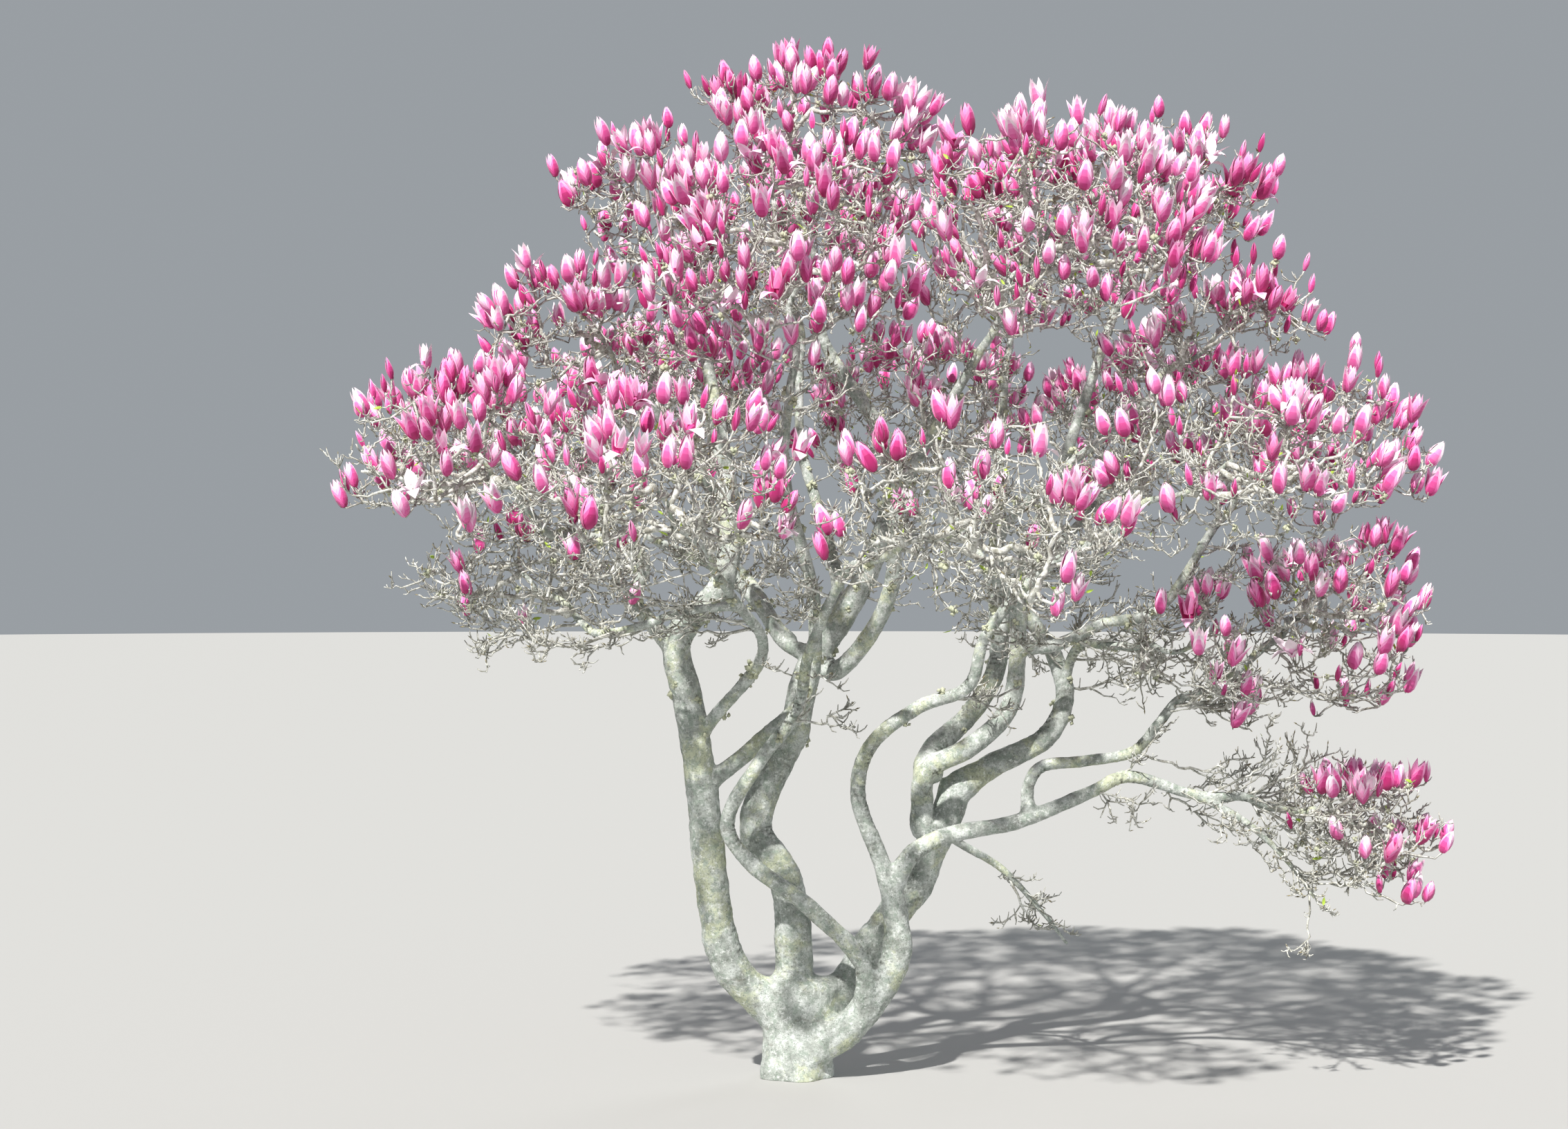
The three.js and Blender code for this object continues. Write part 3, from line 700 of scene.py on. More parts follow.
def reach_blossom(growth, top, axis, style, spacing, owner=None, aside=0):
    """Adds a twig to a blossom with its top at a place, or gives None where it has no room."""
    chances, sizes, (least, most), rough = BLOOM[style]
    kind = str(growth.rng.choice(KINDS, p=chances))
    size = growth.rng.uniform(*sizes)
    base = top - axis * KIND_HEIGHT[kind] * size
    crowded = any(np.linalg.norm(other - top) < spacing for other in growth.tops)
    if crowded or not may_bloom(growth.mass, top, base):
        return None
    root, owner = growth.nearest(base - UP * ROOT_BELOW, SWERVE, owner)
    if not least < np.linalg.norm(base - root) < most:
        return None
    growth.reach(root, base, axis, owner, "blooming", rough, aside=aside)
    growth.tops.append(top)
    return kind, base, axis, size


def add_spray(growth, twig):
    """Blossoms at the end of a main twig, each on a short twig of its own."""
    rng, mass = growth.rng, growth.mass
    side = unit(np.cross(twig["axis"], SPRAY_SIDE))
    front = np.cross(twig["axis"], side)
    many = mix(SPRAY_FEWEST, SPRAY_MOST, np.clip(SPRAY_GAIN[0] + SPRAY_GAIN[1] * twig["high"], 0, 1))
    if rng.random() > mass["fullness"]:
        many = SPRAY_FEWEST
    many = max(1, int(round(many + rng.uniform(-1, 1))))
    style = "saucer" if twig["shape"] is SAUCER else "goblet"
    tint = int(rng.choice(TINTS))
    first = rng.uniform(0, 2 * np.pi)
    for j in range(many):
        wide = 0 if j == 0 else SPRAY_WIDE + SPRAY_WIDENS * math.sqrt(j) + rng.uniform(-9, 9)
        turn = first + SPRAY_TURN * j + rng.uniform(-0.3, 0.3)
        away = side * math.cos(turn) + front * math.sin(turn)
        drop = 0 if j == 0 else rng.uniform(0, SPRAY_DROP) + SPRAY_SLOPE * wide
        top = twig["top"] + away * wide - UP * drop
        axis = unit(twig["axis"] + away * SPRAY_SPLAY * wide + rng.normal(0, 0.09, 3))
        blossom = reach_blossom(growth, top, axis, style, BLOSSOM_SPACING, twig["mine"], away * SPRAY_BOW)
        if blossom:
            blossoms.append((*blossom, tint, mass["group"]))
            for _ in range(int(rng.integers(0, 3))):
                add_scale(blossom[1] - axis * rng.uniform(0, 5), axis, rng)


def side_way(mass, rng):
    """A way out of a mass for a blossom, lower on its outer side, or None if it is too low."""
    out = unit(rng.normal(0, 1, 3))
    outer = unit((mass["heart"] - TREE_HEART) * LEVEL + (1, 0, 0)) @ (out * LEVEL)
    lowest = rng.uniform(*(LOW_OUTER if outer > OUTER_FROM else LOW_INNER))
    if mass["name"].startswith(UPPER):
        if rng.random() < UPPER_TURNED_DOWN:
            out[2] = -abs(out[2])
        if outer > UPPER_OUTER_FROM:
            lowest = rng.uniform(*LOW_UPPER)
    if mass["name"] == DROOPING and outer > 0:
        lowest = rng.uniform(*LOW_DROOPING)
    if mass["name"] in HANGING and outer > 0:
        lowest = LOW_HANGING
    return out if out[2] >= lowest else None


def add_side_blossom(growth):
    """One blossom between the sprays, at a side of the mass."""
    rng, mass = growth.rng, growth.mass
    out = side_way(mass, rng)
    if out is None or rng.random() > mass["fullness"] ** 2:
        return
    top = place_in(mass, out, rng.uniform(*SIDE_SHARE))
    axis = unit(np.array([OUTWARD * out[0], OUTWARD * out[1], SIDE_UPWARD]) + rng.normal(0, 0.12, 3))
    spacing = HANGING_SPACING if mass["name"] in HANGING else SIDE_SPACING
    blossom = reach_blossom(growth, top, axis, "side", spacing)
    if blossom:
        blossoms.append((*blossom, int(rng.choice(TINTS)), mass["group"]))
        if rng.random() < SIDE_SCALES:
            add_scale(blossom[1], axis, rng)


def add_inner_bough(growth, turn):
    """A crooked bough low in a mass, for bare twigs to spring from."""
    rng, mass = growth.rng, growth.mass
    out = np.array([math.cos(turn), math.sin(turn), rng.uniform(*BOUGH_RISE)])
    tip = place_in(mass, out, rng.uniform(*BOUGH_SHARE))
    if in_space(mass, tip, BOUGH_INSIDE) and in_room(tip):
        root, owner = growth.nearest(tip, SWERVE, 0)
        axis = unit(out * (0.9, 0.9, 0.2) + UP * rng.uniform(-0.1, 0.5))
        aside = rng.normal(0, BOUGH_ASIDE * np.linalg.norm(tip - root), 3) * (1, 1, 0.4)
        growth.reach(root, tip, axis, owner, "bough", GNARL["bough"], BOUGH_SAG, aside)


def add_bare_twig(growth):
    """A twig without blossom, in the shade of those that bloom. Nearly level ones run farther."""
    rng, mass = growth.rng, growth.mass
    out = unit(rng.normal(0, 1, 3) * (1, 1, 0.65))
    tip = place_in(mass, out, rng.uniform(*(BARE_SHARE if abs(out[2] + 0.15) > 0.25 else BARE_SHARE_LEVEL)))
    if not in_space(mass, tip, BARE_INSIDE) or not in_room(tip):
        return
    root, owner = growth.nearest(tip, SWERVE)
    if BARE_REACH[0] < np.linalg.norm(tip - root) < BARE_REACH[1]:
        axis = unit(out * FLATTER + UP * rng.uniform(-0.1, 0.6) + rng.normal(0, 0.25, 3))
        _, path = growth.reach(root, tip, axis, owner, "bare", GNARL["bare"], BARE_SAG)
        way = unit(path[-1] - path[-2])
        sprout(buds, "twig_bud", path[-1], way, rng)
        sprout(leaves, "twig_leaf", path[-1], way, rng)


def add_fork(growth, owner, root, aim, far, levels):
    """A bare twig with side twigs, each level shorter than the one before."""
    rng = growth.rng
    axis = unit(aim * FLATTER + UP * rng.uniform(0.05, 0.8))
    mine, path = growth.reach(root, root + aim * far, axis, owner, "bare", GNARL["fork"])
    sprout(buds, "fork_bud", path[-1], path[-1] - path[-2], rng)
    for _ in range(rng.poisson(far / FORK_EVERY) if levels else 0):
        i = int(rng.integers(1, len(path) - 1))
        way = unit(path[i + 1] - path[i - 1])
        side = unit(unit(way * 0.8 + across(way, rng) * 0.8) * (1, 1, 0.7) + UP * 0.15)
        add_fork(growth, mine, path[i], side, far * rng.uniform(*FORK_SHARE), levels - 1)


def add_shoots(growth, name):
    """Bare shoots along a limb, most of them level and away from the middle of the tree."""
    rng, curve = growth.rng, limbs[name]["curve"]
    per_metre, start, least, most = SHOOTS[name]
    for share in rng.uniform(start, SHOOTS_END, int(per_metre * (1 - start) * curve.length / 1000)):
        at, on = curve.at([share, share + 0.02])
        way = unit(on - at)
        away = unit((at - TREE_HEART) * LEVEL)
        aim = across(way, rng) + way * 0.5 + away * 0.5
        aim = unit(aim * (1, 1, 0.5) + UP * rng.uniform(-0.1, 0.3))
        add_fork(growth, 0, at, aim, rng.uniform(least, most), FORK_LEVELS)


def spurs_on(growth):
    """Short side shoots along all twigs, turned up at their tips."""
    rng, spurs = growth.rng, []
    for path, kind in zip(growth.paths, growth.kinds):
        if kind == "limb":
            continue
        strides = np.diff(path, axis=0)
        length = np.linalg.norm(strides, axis=1).sum()
        for _ in range(rng.poisson(length / SPUR_EVERY)):
            i = int(rng.integers(0, len(strides)))
            root = path[i] + strides[i] * rng.random()
            way = unit(unit(strides[i]) * 0.5 + unit(rng.normal(0, 1, 3)) + UP * 0.25)
            far = rng.uniform(*SPUR_LENGTHS)
            knee = root + way * far * 0.55
            tip = knee + unit(way + UP * 0.7) * far * 0.45
            spurs.append(np.array([root, knee, tip]))
            sprout(buds, "spur_bud", tip, tip - knee, rng)
            sprout(leaves, "spur_leaf", tip, tip - knee, rng)
    return spurs


# Many small things in one mesh

def new_object(name, data):
    made = bpy.data.objects.new(name, data)
    bpy.context.scene.collection.objects.link(made)
    return made


class Heap:
    """Points and faces of many small things, gathered for one mesh."""

    def __init__(self):
        self.points, self.faces, self.slots, self.count = [], {}, {}, 0

    def add(self, points, faces, slot=0):
        """points (n, 3); faces a list of (m, k) arrays; slot one number or one for each face."""
        for rows in faces:
            size = rows.shape[1]
            self.faces.setdefault(size, []).append(rows + self.count)
            many = np.full(len(rows), slot) if np.isscalar(slot) else slot[size]
            self.slots.setdefault(size, []).append(many)
        self.points.append(points)
        self.count += len(points)

    def make(self, name, materials):
        mesh = bpy.data.meshes.new(name)
        sizes = sorted(self.faces)
        faces = [face for size in sizes for rows in self.faces[size] for face in rows.tolist()]
        slots = np.concatenate([many for size in sizes for many in self.slots[size]])
        mesh.from_pydata((np.concatenate(self.points) * MM).tolist(), [], faces)
        mesh.polygons.foreach_set("material_index", slots.astype(np.int32))
        mesh.polygons.foreach_set("use_smooth", np.ones(len(faces), bool))
        mesh.update()
        for material in materials:
            mesh.materials.append(material)
        return new_object(name, mesh)


def repeat(faces, copies, size):
    """Faces of copies of a shape, each with so many points."""
    return (faces[None] + size * np.arange(copies)[:, None, None]).reshape(-1, faces.shape[1])


def tube_faces(sides, rings):
    """The walls and the two ends of a tube, whose points stand ring by ring."""
    k = np.arange(sides)
    ring = np.stack([k, (k + 1) % sides, (k + 1) % sides + sides, k + sides], 1)
    return repeat(ring, rings - 1, sides), np.stack([k[::-1], k + sides * (rings - 1)])


def tubes(paths, radii, sides):
    """Closed tubes along paths (m, n, 3) with radii (m, n)."""
    many, rings = radii.shape
    ways = np.empty_like(paths)
    ways[:, 1:-1] = paths[:, 2:] - paths[:, :-2]
    ways[:, 0] = paths[:, 1] - paths[:, 0]
    ways[:, -1] = paths[:, -1] - paths[:, -2]
    ways = unit_rows(ways)
    side = np.tile(TUBE_SIDE, (many, 1))
    turns = 2 * np.pi * np.arange(sides) / sides
    points = np.empty((many, rings, sides, 3))
    for i in range(rings):
        side = unit_rows(side - (side * ways[:, i]).sum(1)[:, None] * ways[:, i])
        up = np.cross(ways[:, i], side)
        star = np.cos(turns)[None, :, None] * side[:, None] + np.sin(turns)[None, :, None] * up[:, None]
        points[:, i] = paths[:, i, None] + radii[:, i, None, None] * star
    walls, ends = tube_faces(sides, rings)
    quads = repeat(walls, many, sides * rings)
    caps = np.concatenate([repeat(end[None], many, sides * rings) for end in ends])
    return points.reshape(-1, 3), [quads, caps] if sides != 4 else [np.concatenate([quads, caps])]


def add_tubes(heap, paths, radii, sides):
    """Adds tubes of paths of any lengths, those of one length together."""
    by_length = {}
    for path, radius in zip(paths, radii):
        by_length.setdefault(len(path), []).append((path, radius))
    for rows in by_length.values():
        heap.add(*tubes(*columns_of(rows), sides))


# Petals

FLAME = (0.66, 0.24)
EDGE_BEHIND = 0.4
LAP = 0.1


def petal(rows, tip, turn, tones, curl=1.06, columns=3):
    """A pointed spoon. rows are (height, out from the axis, half width); its edges lag behind its middle."""
    points = []
    rows = np.array(rows, float)
    bands = len(rows) - 1
    for i, (z, out, half) in enumerate(rows):
        split = mix(*FLAME, i / bands)
        lag = rows[i] if i == 0 else mix(rows[i], rows[i - 1], EDGE_BEHIND)
        bend = max(out, 8) * curl
        for share in (-1, -split, split, 1) if columns == 3 else (-1, 0, 1):
            high, far = (lag[0], lag[1]) if abs(share) == 1 else (z, out)
            a = share * half / bend
            aside = bend * math.sin(a)
            points.append((far - bend + bend * math.cos(a) + LAP * aside, aside, high))
    points.append((tip[1], 0, tip[0]))
    points = np.array(points, float)
    c, s = math.cos(turn), math.sin(turn)
    points[:, :2] = points[:, :2] @ np.array([[c, s], [-s, c]])
    n = columns + 1
    quads, tris, quad_tones, tri_tones = [], [], [], []
    for r in range(bands):
        for j in range(columns):
            a, b, c, d = n * r + j, n * r + j + 1, n * r + j + n + 1, n * r + j + n
            if columns == 3 and j == 1:
                quads.append([a, b, c, d])
                quad_tones.append(tones[r][1])
            else:
                tris += [[a, b, c], [a, c, d]] if j == 0 else [[a, b, d], [b, c, d]]
                tri_tones += [tones[r][0], tones[r + 1][0]]
    last = n * bands
    tris += [[last + j, last + j + 1, last + n] for j in range(columns)]
    tri_tones += [tones[bands][1 if columns == 3 and j == 1 else 0] for j in range(columns)]
    return points, quads, tris, quad_tones, tri_tones


def join_petals(petals):
    """Points and faces of several petals, with the faces' tones."""
    points, faces, count = [], ([], [], [], []), 0
    for petal_points, quads, tris, quad_tones, tri_tones in petals:
        points.append(petal_points)
        rows = (np.array(quads) + count, np.array(tris) + count, quad_tones, tri_tones)
        for gathered, more in zip(faces, rows):
            gathered.extend(more)
        count += len(petal_points)
    return [np.concatenate(points)] + [np.array(rows) for rows in faces]


def around(count, first, rows, tip, tones, curl=1.06, columns=3):
    return [petal(rows, tip, first + 2 * math.pi * k / count, tones, curl, columns) for k in range(count)]


def cup(outer, outer_tip, inner, inner_tip):
    """Three outer petals around three inner ones."""
    return around(3, 0, outer, outer_tip, UPRIGHT) + around(3, THIRD, inner, inner_tip, INNER, columns=2)


# Tones run from 0, the deepest, to 9, the palest; each pair is (sides, middle) of a band
UPRIGHT = [(1, 0), (2, 1), (3, 2), (5, 3), (7, 5), (8, 7)]
INNER = [(6, 5), (7, 7), (8, 8)]
LIMP = [(4, 3), (7, 6), (8, 8), (9, 8), (9, 9)]
OUTER_EGG = [(0, 5, 6), (8, 15, 17), (25, 22.5, 25), (46, 24, 26), (65, 20.5, 21.5), (81, 13, 13)]
INNER_EGG = [(40, 20, 19), (66, 18, 16), (84, 11, 9)]
OUTER_CLOSED = [(0, 5, 6), (10, 14, 16), (29, 21, 23), (50, 22, 23.5), (68, 20.5, 19), (83, 17, 12)]
INNER_CLOSED = [(38, 17.5, 17), (66, 17, 15), (87, 10.5, 9)]
OUTER_LOOSE = [(0, 5, 6), (9, 14.5, 17), (27, 22.5, 23), (47, 25, 23), (66, 28.5, 19), (82, 33, 12)]
INNER_LOOSE = [(34, 16, 17), (64, 19, 16), (86, 16, 10)]
REFLEXED = [(0, 5, 6), (12, 15, 14), (25, 29, 20), (29, 46, 22), (22, 64, 17)]
SPREAD = [(0, 5, 6), (14, 15, 14), (32, 28, 20), (48, 41, 21), (62, 53, 16)]
SLIM = [(0, 4, 5), (9, 8, 9), (24, 11.5, 12), (39, 11, 11.5), (52, 8, 8), (62, 5, 4.5)]
BUD_TONES = [(0, 0), (1, 0), (2, 1), (3, 2), (5, 3), (6, 5)]
THIRD = math.pi / 3
BLOSSOM_SHAPES = {
    "egg": cup(OUTER_EGG, (92, 4), INNER_EGG, (96, 3)),
    "closed": cup(OUTER_CLOSED, (97, 13), INNER_CLOSED, (102, 3)),
    "bud": around(3, 0, SLIM, (71, 1), BUD_TONES),
    "half_open": cup(OUTER_LOOSE, (97, 41), INNER_LOOSE, (101, 12)),
    "flopped": cup(OUTER_LOOSE, (96, 39), INNER_LOOSE, (100, 15)),
    "open": around(3, 0, REFLEXED, (8, 78), LIMP, 1.6) + around(3, THIRD, SPREAD, (73, 66), LIMP, 1.3),
}
BLOSSOM_SHAPES["flopped"][2] = petal(REFLEXED, (8, 80), 4 * THIRD, LIMP, 1.6)
SCALE_SHAPE = (
    np.array([(0, 0, 0), (3, 3.6, 8), (3, -3.6, 8), (4.5, 0, 9), (2, 0, 20)], float),
    np.array([(0, 1, 3), (0, 3, 2), (1, 4, 3), (3, 4, 2)]),
)
LEAF_SHAPE = (
    np.array([(0, 0, 0), (2, 5, 9), (4.5, 0, 9), (2, -5, 9), (1, 4.5, 19), (3.5, 0, 20), (1, -4.5, 19),
              (0, 0, 30)], float),
    np.array([(0, 1, 2), (0, 2, 3), (1, 4, 2), (4, 5, 2), (2, 5, 3), (5, 6, 3), (4, 7, 5), (5, 7, 6)]),
)


def stand(points, places, axes, spins, sizes):
    """Copies of a shape (k, 3), one at each place along its axis."""
    side = unit_rows(np.cross(axes, np.tile(COPY_SIDE, (len(axes), 1))))
    up = np.cross(axes, side)
    x = side * np.cos(spins)[:, None] + up * np.sin(spins)[:, None]
    y = np.cross(axes, x)
    frames = np.stack([x, y, axes], 1) * np.asarray(sizes)[:, None, None]
    return (places[:, None] + np.einsum("kj,mji->mki", points, frames)).reshape(-1, 3)


def add_copies(heap, points, faces, rows, full, rng, tones=None):
    """Adds copies of a shape of a full height, from rows of (spot, way, length)."""
    many = len(rows)
    spins = rng.uniform(0, 2 * np.pi, many)
    spots, ways, lengths = columns_of(rows)
    slots = {size: np.tile(row, many) for size, row in tones.items()} if tones else 0
    placed = stand(points, spots, ways, spins, lengths / full)
    heap.add(placed, [repeat(rows_of_one, many, len(points)) for rows_of_one in faces], slots)


# Materials

def colour(code):
    """A plain colour from its screen values."""
    parts = [int(code[i:i + 2], 16) / 255 for i in (0, 2, 4)]
    return (*[c / 12.92 if c <= 0.04045 else ((c + 0.055) / 1.055) ** 2.4 for c in parts], 1)


def set_inputs(node, values):
    for socket, value in values.items():
        node.inputs[socket].default_value = value


def new_material(name, roughness):
    material = bpy.data.materials.new(name)
    material.use_nodes = True
    shader = material.node_tree.nodes["Principled BSDF"]
    set_inputs(shader, {"Roughness": roughness, "Specular IOR Level": 0.3})
    return material, shader


def noise_node(tree, scale, detail, rough, stretch=None, distortion=0.0):
    """A noise on the piece's own place, with its soft value from 0 to 1."""
    source = tree.nodes.new("ShaderNodeTexCoord").outputs["Object"]
    if stretch:
        mapping = tree.nodes.new("ShaderNodeMapping")
        set_inputs(mapping, {"Scale": stretch})
        tree.links.new(source, mapping.inputs["Vector"])
        source = mapping.outputs["Vector"]
    pattern = tree.nodes.new("ShaderNodeTexNoise")
    set_inputs(pattern, {"Scale": scale, "Detail": detail, "Roughness": rough, "Distortion": distortion})
    tree.links.new(source, pattern.inputs["Vector"])
    return pattern.outputs["Fac"]


def ramp_node(tree, value, stops):
    """Tones along a value; each stop is (where, tone), and a tone is a colour or its code."""
    ramp = tree.nodes.new("ShaderNodeValToRGB")
    row = ramp.color_ramp.elements
    while len(row) < len(stops):
        row.new(0.5)
    for element, (at, tone) in zip(row, stops):
        element.position = at
        element.color = colour(tone) if isinstance(tone, str) else tone
    tree.links.new(value, ramp.inputs["Fac"])
    return ramp.outputs["Color"]


def blend_node(tree, factor, low, high):
    node = tree.nodes.new("ShaderNodeMix")
    node.data_type = "RGBA"
    tree.links.new(factor, node.inputs["Factor"])
    for socket, value in ((node.inputs[6], low), (node.inputs[7], high)):
        if isinstance(value, tuple):
            socket.default_value = value
        else:
            tree.links.new(value, socket)
    return node.outputs[2]


def bump_node(tree, shader, rows):
    """Bumps from several values, each (value, strength, distance)."""
    normal = None
    for value, strength, distance in rows:
        bump = tree.nodes.new("ShaderNodeBump")
        set_inputs(bump, {"Strength": strength, "Distance": distance})
        tree.links.new(value, bump.inputs["Height"])
        if normal:
            tree.links.new(normal, bump.inputs["Normal"])
        normal = bump.outputs["Normal"]
    tree.links.new(normal, shader.inputs["Normal"])


BLACK = (0, 0, 0, 1)
GREY = (0.6, 0.6, 0.6, 1)
SOFT = (0.75, 0.75, 0.75, 1)
BARK_TONES = ((0.32, "7B807A"), (0.43, "9FA59F"), (0.51, "BAC0BA"), (0.60, "D4DAD6"), (0.69, "EBEFEC"))
TWIG_TONES = ((0.33, "716D62"), (0.43, "9D9C92"), (0.52, "C6C7BF"), (0.62, "F0F2EE"))

# What covers the bark: the noise that deals it out, where it begins and ends, its colour
BARK_COVERS = {
    "cream": ((5, 6, 0.7, None, 0.3), ((0.52, BLACK), (0.60, SOFT)), "CBD1AF"),
    "lichen": ((34, 9, 0.78), ((0.49, BLACK), (0.58, SOFT)), "95A397"),
    "crust": ((55, 9, 0.78), ((0.53, BLACK), (0.61, SOFT)), "EFF3F0"),
    "stain": ((9, 8, 0.78, (1, 1, 1.8), 0.2), ((0.56, BLACK), (0.70, GREY)), "706C60"),
    "specks": ((180, 6, 0.8), ((0.38, SOFT), (0.46, BLACK)), "535A54"),
}


def bark_material():
    """Pale grey bark under cream, grey-green lichen, white crusts, brown stains and dark specks, with painted
    shade in the wrinkle creases.
    """
    material, shader = new_material("lichened_bark", 0.88)
    tree = material.node_tree
    base = ramp_node(tree, noise_node(tree, 13, 9, 0.74), BARK_TONES)
    patterns, masks = {}, {}
    for name, (pattern, stops, code) in BARK_COVERS.items():
        patterns[name] = noise_node(tree, *pattern)
        masks[name] = ramp_node(tree, patterns[name], stops)
        base = blend_node(tree, masks[name], base, colour(code))
    # Painted shade: the creases of the ring wrinkles darkened in the bark's colour
    crease_shade = tree.nodes.new("ShaderNodeAttribute")
    crease_shade.attribute_name = "crease_shade"
    base = blend_node(tree, crease_shade.outputs["Fac"], base, colour("4C4D46"))
    tree.links.new(base, shader.inputs["Base Color"])
    rings = noise_node(tree, 80, 4, 0.6, (1, 1, 2.4))
    bump_node(tree, shader, [
        (rings, 0.4, 0.003), (masks["crust"], 0.3, 0.0012), (patterns["specks"], 0.9, 0.0016)])
    return material


def twig_material():
    """Grey twigs, paler where lichen covers them and browner where it doesn't."""
    material, shader = new_material("twig_bark", 0.85)
    tree = material.node_tree
    tree.links.new(ramp_node(tree, noise_node(tree, 42, 8, 0.78), TWIG_TONES), shader.inputs["Base Color"])
    bump_node(tree, shader, [(noise_node(tree, 330, 4, 0.65), 0.6, 0.0015)])
    return material


def plain_material(name, code, roughness, grain, strength=0.5, sheen=0.0):
    """One plain tone with a fine relief, and with the silk of petals where it has a sheen."""
    material, shader = new_material(name, roughness)
    set_inputs(shader, {"Base Color": colour(code), "Sheen Weight": sheen})
    tree = material.node_tree
    bump_node(tree, shader, [(noise_node(tree, *grain), strength, 0.001)])
    return material


BARK = bark_material()
TWIG = twig_material()
PETAL_TONES = ("AE2469", "C2377F", "D34C93", "E061A5", "E979B6",
               "F091C7", "F5AAD6", "F9C2E3", "FBD9EE", "FDEDF7")
PALEST = len(PETAL_TONES) - 1
VEINS = (260, 2, 0.5, (1, 1, 0.12))
PETALS = [plain_material(f"petal_{i}", code, 0.5, VEINS, 0.25, 0.25) for i, code in enumerate(PETAL_TONES)]
FELT = plain_material("bud_felt", "8C8468", 0.9, (500, 3, 0.6))
SCALE = plain_material("bud_scale", "8B7448", 0.85, (400, 3, 0.6))
LEAF = plain_material("young_leaf", "A5BF4A", 0.55, (120, 3, 0.6))
TUFT = plain_material("lichen_tuft", "BBBFA6", 0.95, (300, 3, 0.6))


def finish_piece(piece, slot, *nodes):
    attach(piece, BODY)
    if nodes:
        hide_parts(*nodes)


# Bark of the stump and the limbs: tubes that are melted into one skin. The
# stump's goes up each stem for its overlap, and there the stem's own is sunk in it
RING_STRIDE = 9
LIMB_SIDES = 16
VOXEL = 0.0058
COLLAR = 0.28
COLLAR_SPAN = 0.6
RINGS_BACK = 3
STUMP_OVERLAP = {"stem_left": 420, "stem_middle": 420, "stem_right": 560, "stem_back": 420, "stem_front": 190}
SUNK = 2.5
SWELL = 5
SINK_SPAN = 60
CORE_ASIDE = 10
CORE_TOP = 330
CORE_RADIUS = 60.0
WEB_VOXEL = 0.012
WEB_ROUNDS = 12
SKIN_ROUNDS = 6
STUMP_SIDES = 48
STUMP_RINGS = 30
BELOW_GROUND = -20

# Relief of the bark: its waves, as length and shift, its heights, what lumps have
# of the radius, how hollows gain wrinkles, and the radius from which it is full
LUMPS = (85, 0.0)
BUMPS = (30, 5.3)
CRUMBS = (11, 9.1)
PATCHES = (150, 2.7)
WRINKLE_LENGTH = 24
WRINKLE_HEIGHT = 1.6
CRUST_HEIGHT = 0.7
CRUMB_HEIGHT = 0.4
LUMP_SHARE = 0.08
BUMP_SHARE = 0.025
HOLLOW_GAIN = 130
HOLLOW_MOST = 1.5
FULL_FROM = 22
FULL_LIMITS = (0.45, 1.15)
# The most painted shade in the wrinkle creases
CREASE_SHADE_MOST = 0.85
LEVEL_BELOW = 1.5


def limb_run(name):
    """Points and radii along a limb and on through the stem of its mass."""
    limb = limbs[name]
    steps = max(8, int(limb["curve"].length / RING_STRIDE))
    shares = np.linspace(0, 1, steps + 1)
    points = limb["curve"].at(shares)
    radii = mix(limb["thick"][0], limb["thick"][1], shares ** limb["taper"]) / 2
    far = shares * limb["curve"].length
    if name in GOES_ON:
        points = np.vstack([points[0] - unit(points[1] - points[0]) * RINGS_BACK * RING_STRIDE, points])
        radii = np.concatenate([radii[:1], radii])
    elif limb["parent"] != "trunk":
        span = COLLAR_SPAN * limb["thick"][0]
        radii = radii * (1 + COLLAR * np.exp(-np.maximum(far - span, 0) / span))
    if limb["mass"]:
        foot, knee, end = limb["mass"]["stem"]
        more = int(np.linalg.norm(end - foot) / RING_STRIDE)
        t = np.linspace(0, 1, more + 1)[1:, None]
        wander = np.sin(2 * np.pi * (t * STEM_WAVES + STEM_SHIFTS)) * np.sin(np.pi * t) * STEM_WANDER
        stem = mix(foot, end, t) + wander
        points = np.vstack([points, stem])
        radii = np.concatenate([radii, mix(radii[-1], STEM_THICK[2] / 2, t[:, 0])])
        limb["mass"]["stem_path"] = np.vstack([foot, stem[::2]])
    return points, radii


def add_stump(heap):
    """The stump's skin, from below the ground up to the fork."""
    heights, *sizes = columns_of(STUMP_SECTIONS)
    levels = np.concatenate([[BELOW_GROUND], np.linspace(0, heights[-1], STUMP_RINGS)])
    turns = 2 * np.pi * np.arange(STUMP_SIDES) / STUMP_SIDES
    points = []
    for z in levels:
        wide, deep, lobe = (np.interp(z, heights, size) for size in sizes)
        swell = 1 + lobe * np.cos(FLARE_LOBES * turns + FLARE_TURN)
        x = STUMP_LEAN * max(z, 0) + wide / 2 * swell * np.cos(turns)
        y = deep / 2 * swell * np.sin(turns)
        points.append(np.stack([x, y, np.full(STUMP_SIDES, z)], 1))
    heap.add(np.concatenate(points), tube_faces(STUMP_SIDES, len(levels)))


def change(piece, name, kind, **values):
    """Changes the active piece by a modifier with the values given."""
    modifier = piece.modifiers.new(name, kind)
    for key, value in values.items():
        setattr(modifier, key, value)
    bpy.ops.object.modifier_apply(modifier=modifier.name)


def smoothed(piece, voxel, rounds):
    """Melts overlapping tubes into one skin."""
    bpy.ops.object.select_all(action="DESELECT")
    piece.select_set(True)
    bpy.context.view_layer.objects.active = piece
    change(piece, "one_skin", "REMESH", mode="VOXEL", voxel_size=voxel, use_smooth_shade=True)
    change(piece, "soften", "SMOOTH", factor=0.5, iterations=rounds)


def cut_at_ground(piece):
    """Cuts the active piece off flat at ground level."""
    bpy.ops.object.mode_set(mode="EDIT")
    bpy.ops.mesh.select_all(action="SELECT")
    bpy.ops.mesh.bisect(plane_co=(0, 0, 0), plane_no=(0, 0, 1), use_fill=True, clear_inner=True)
    bpy.ops.object.mode_set(mode="OBJECT")


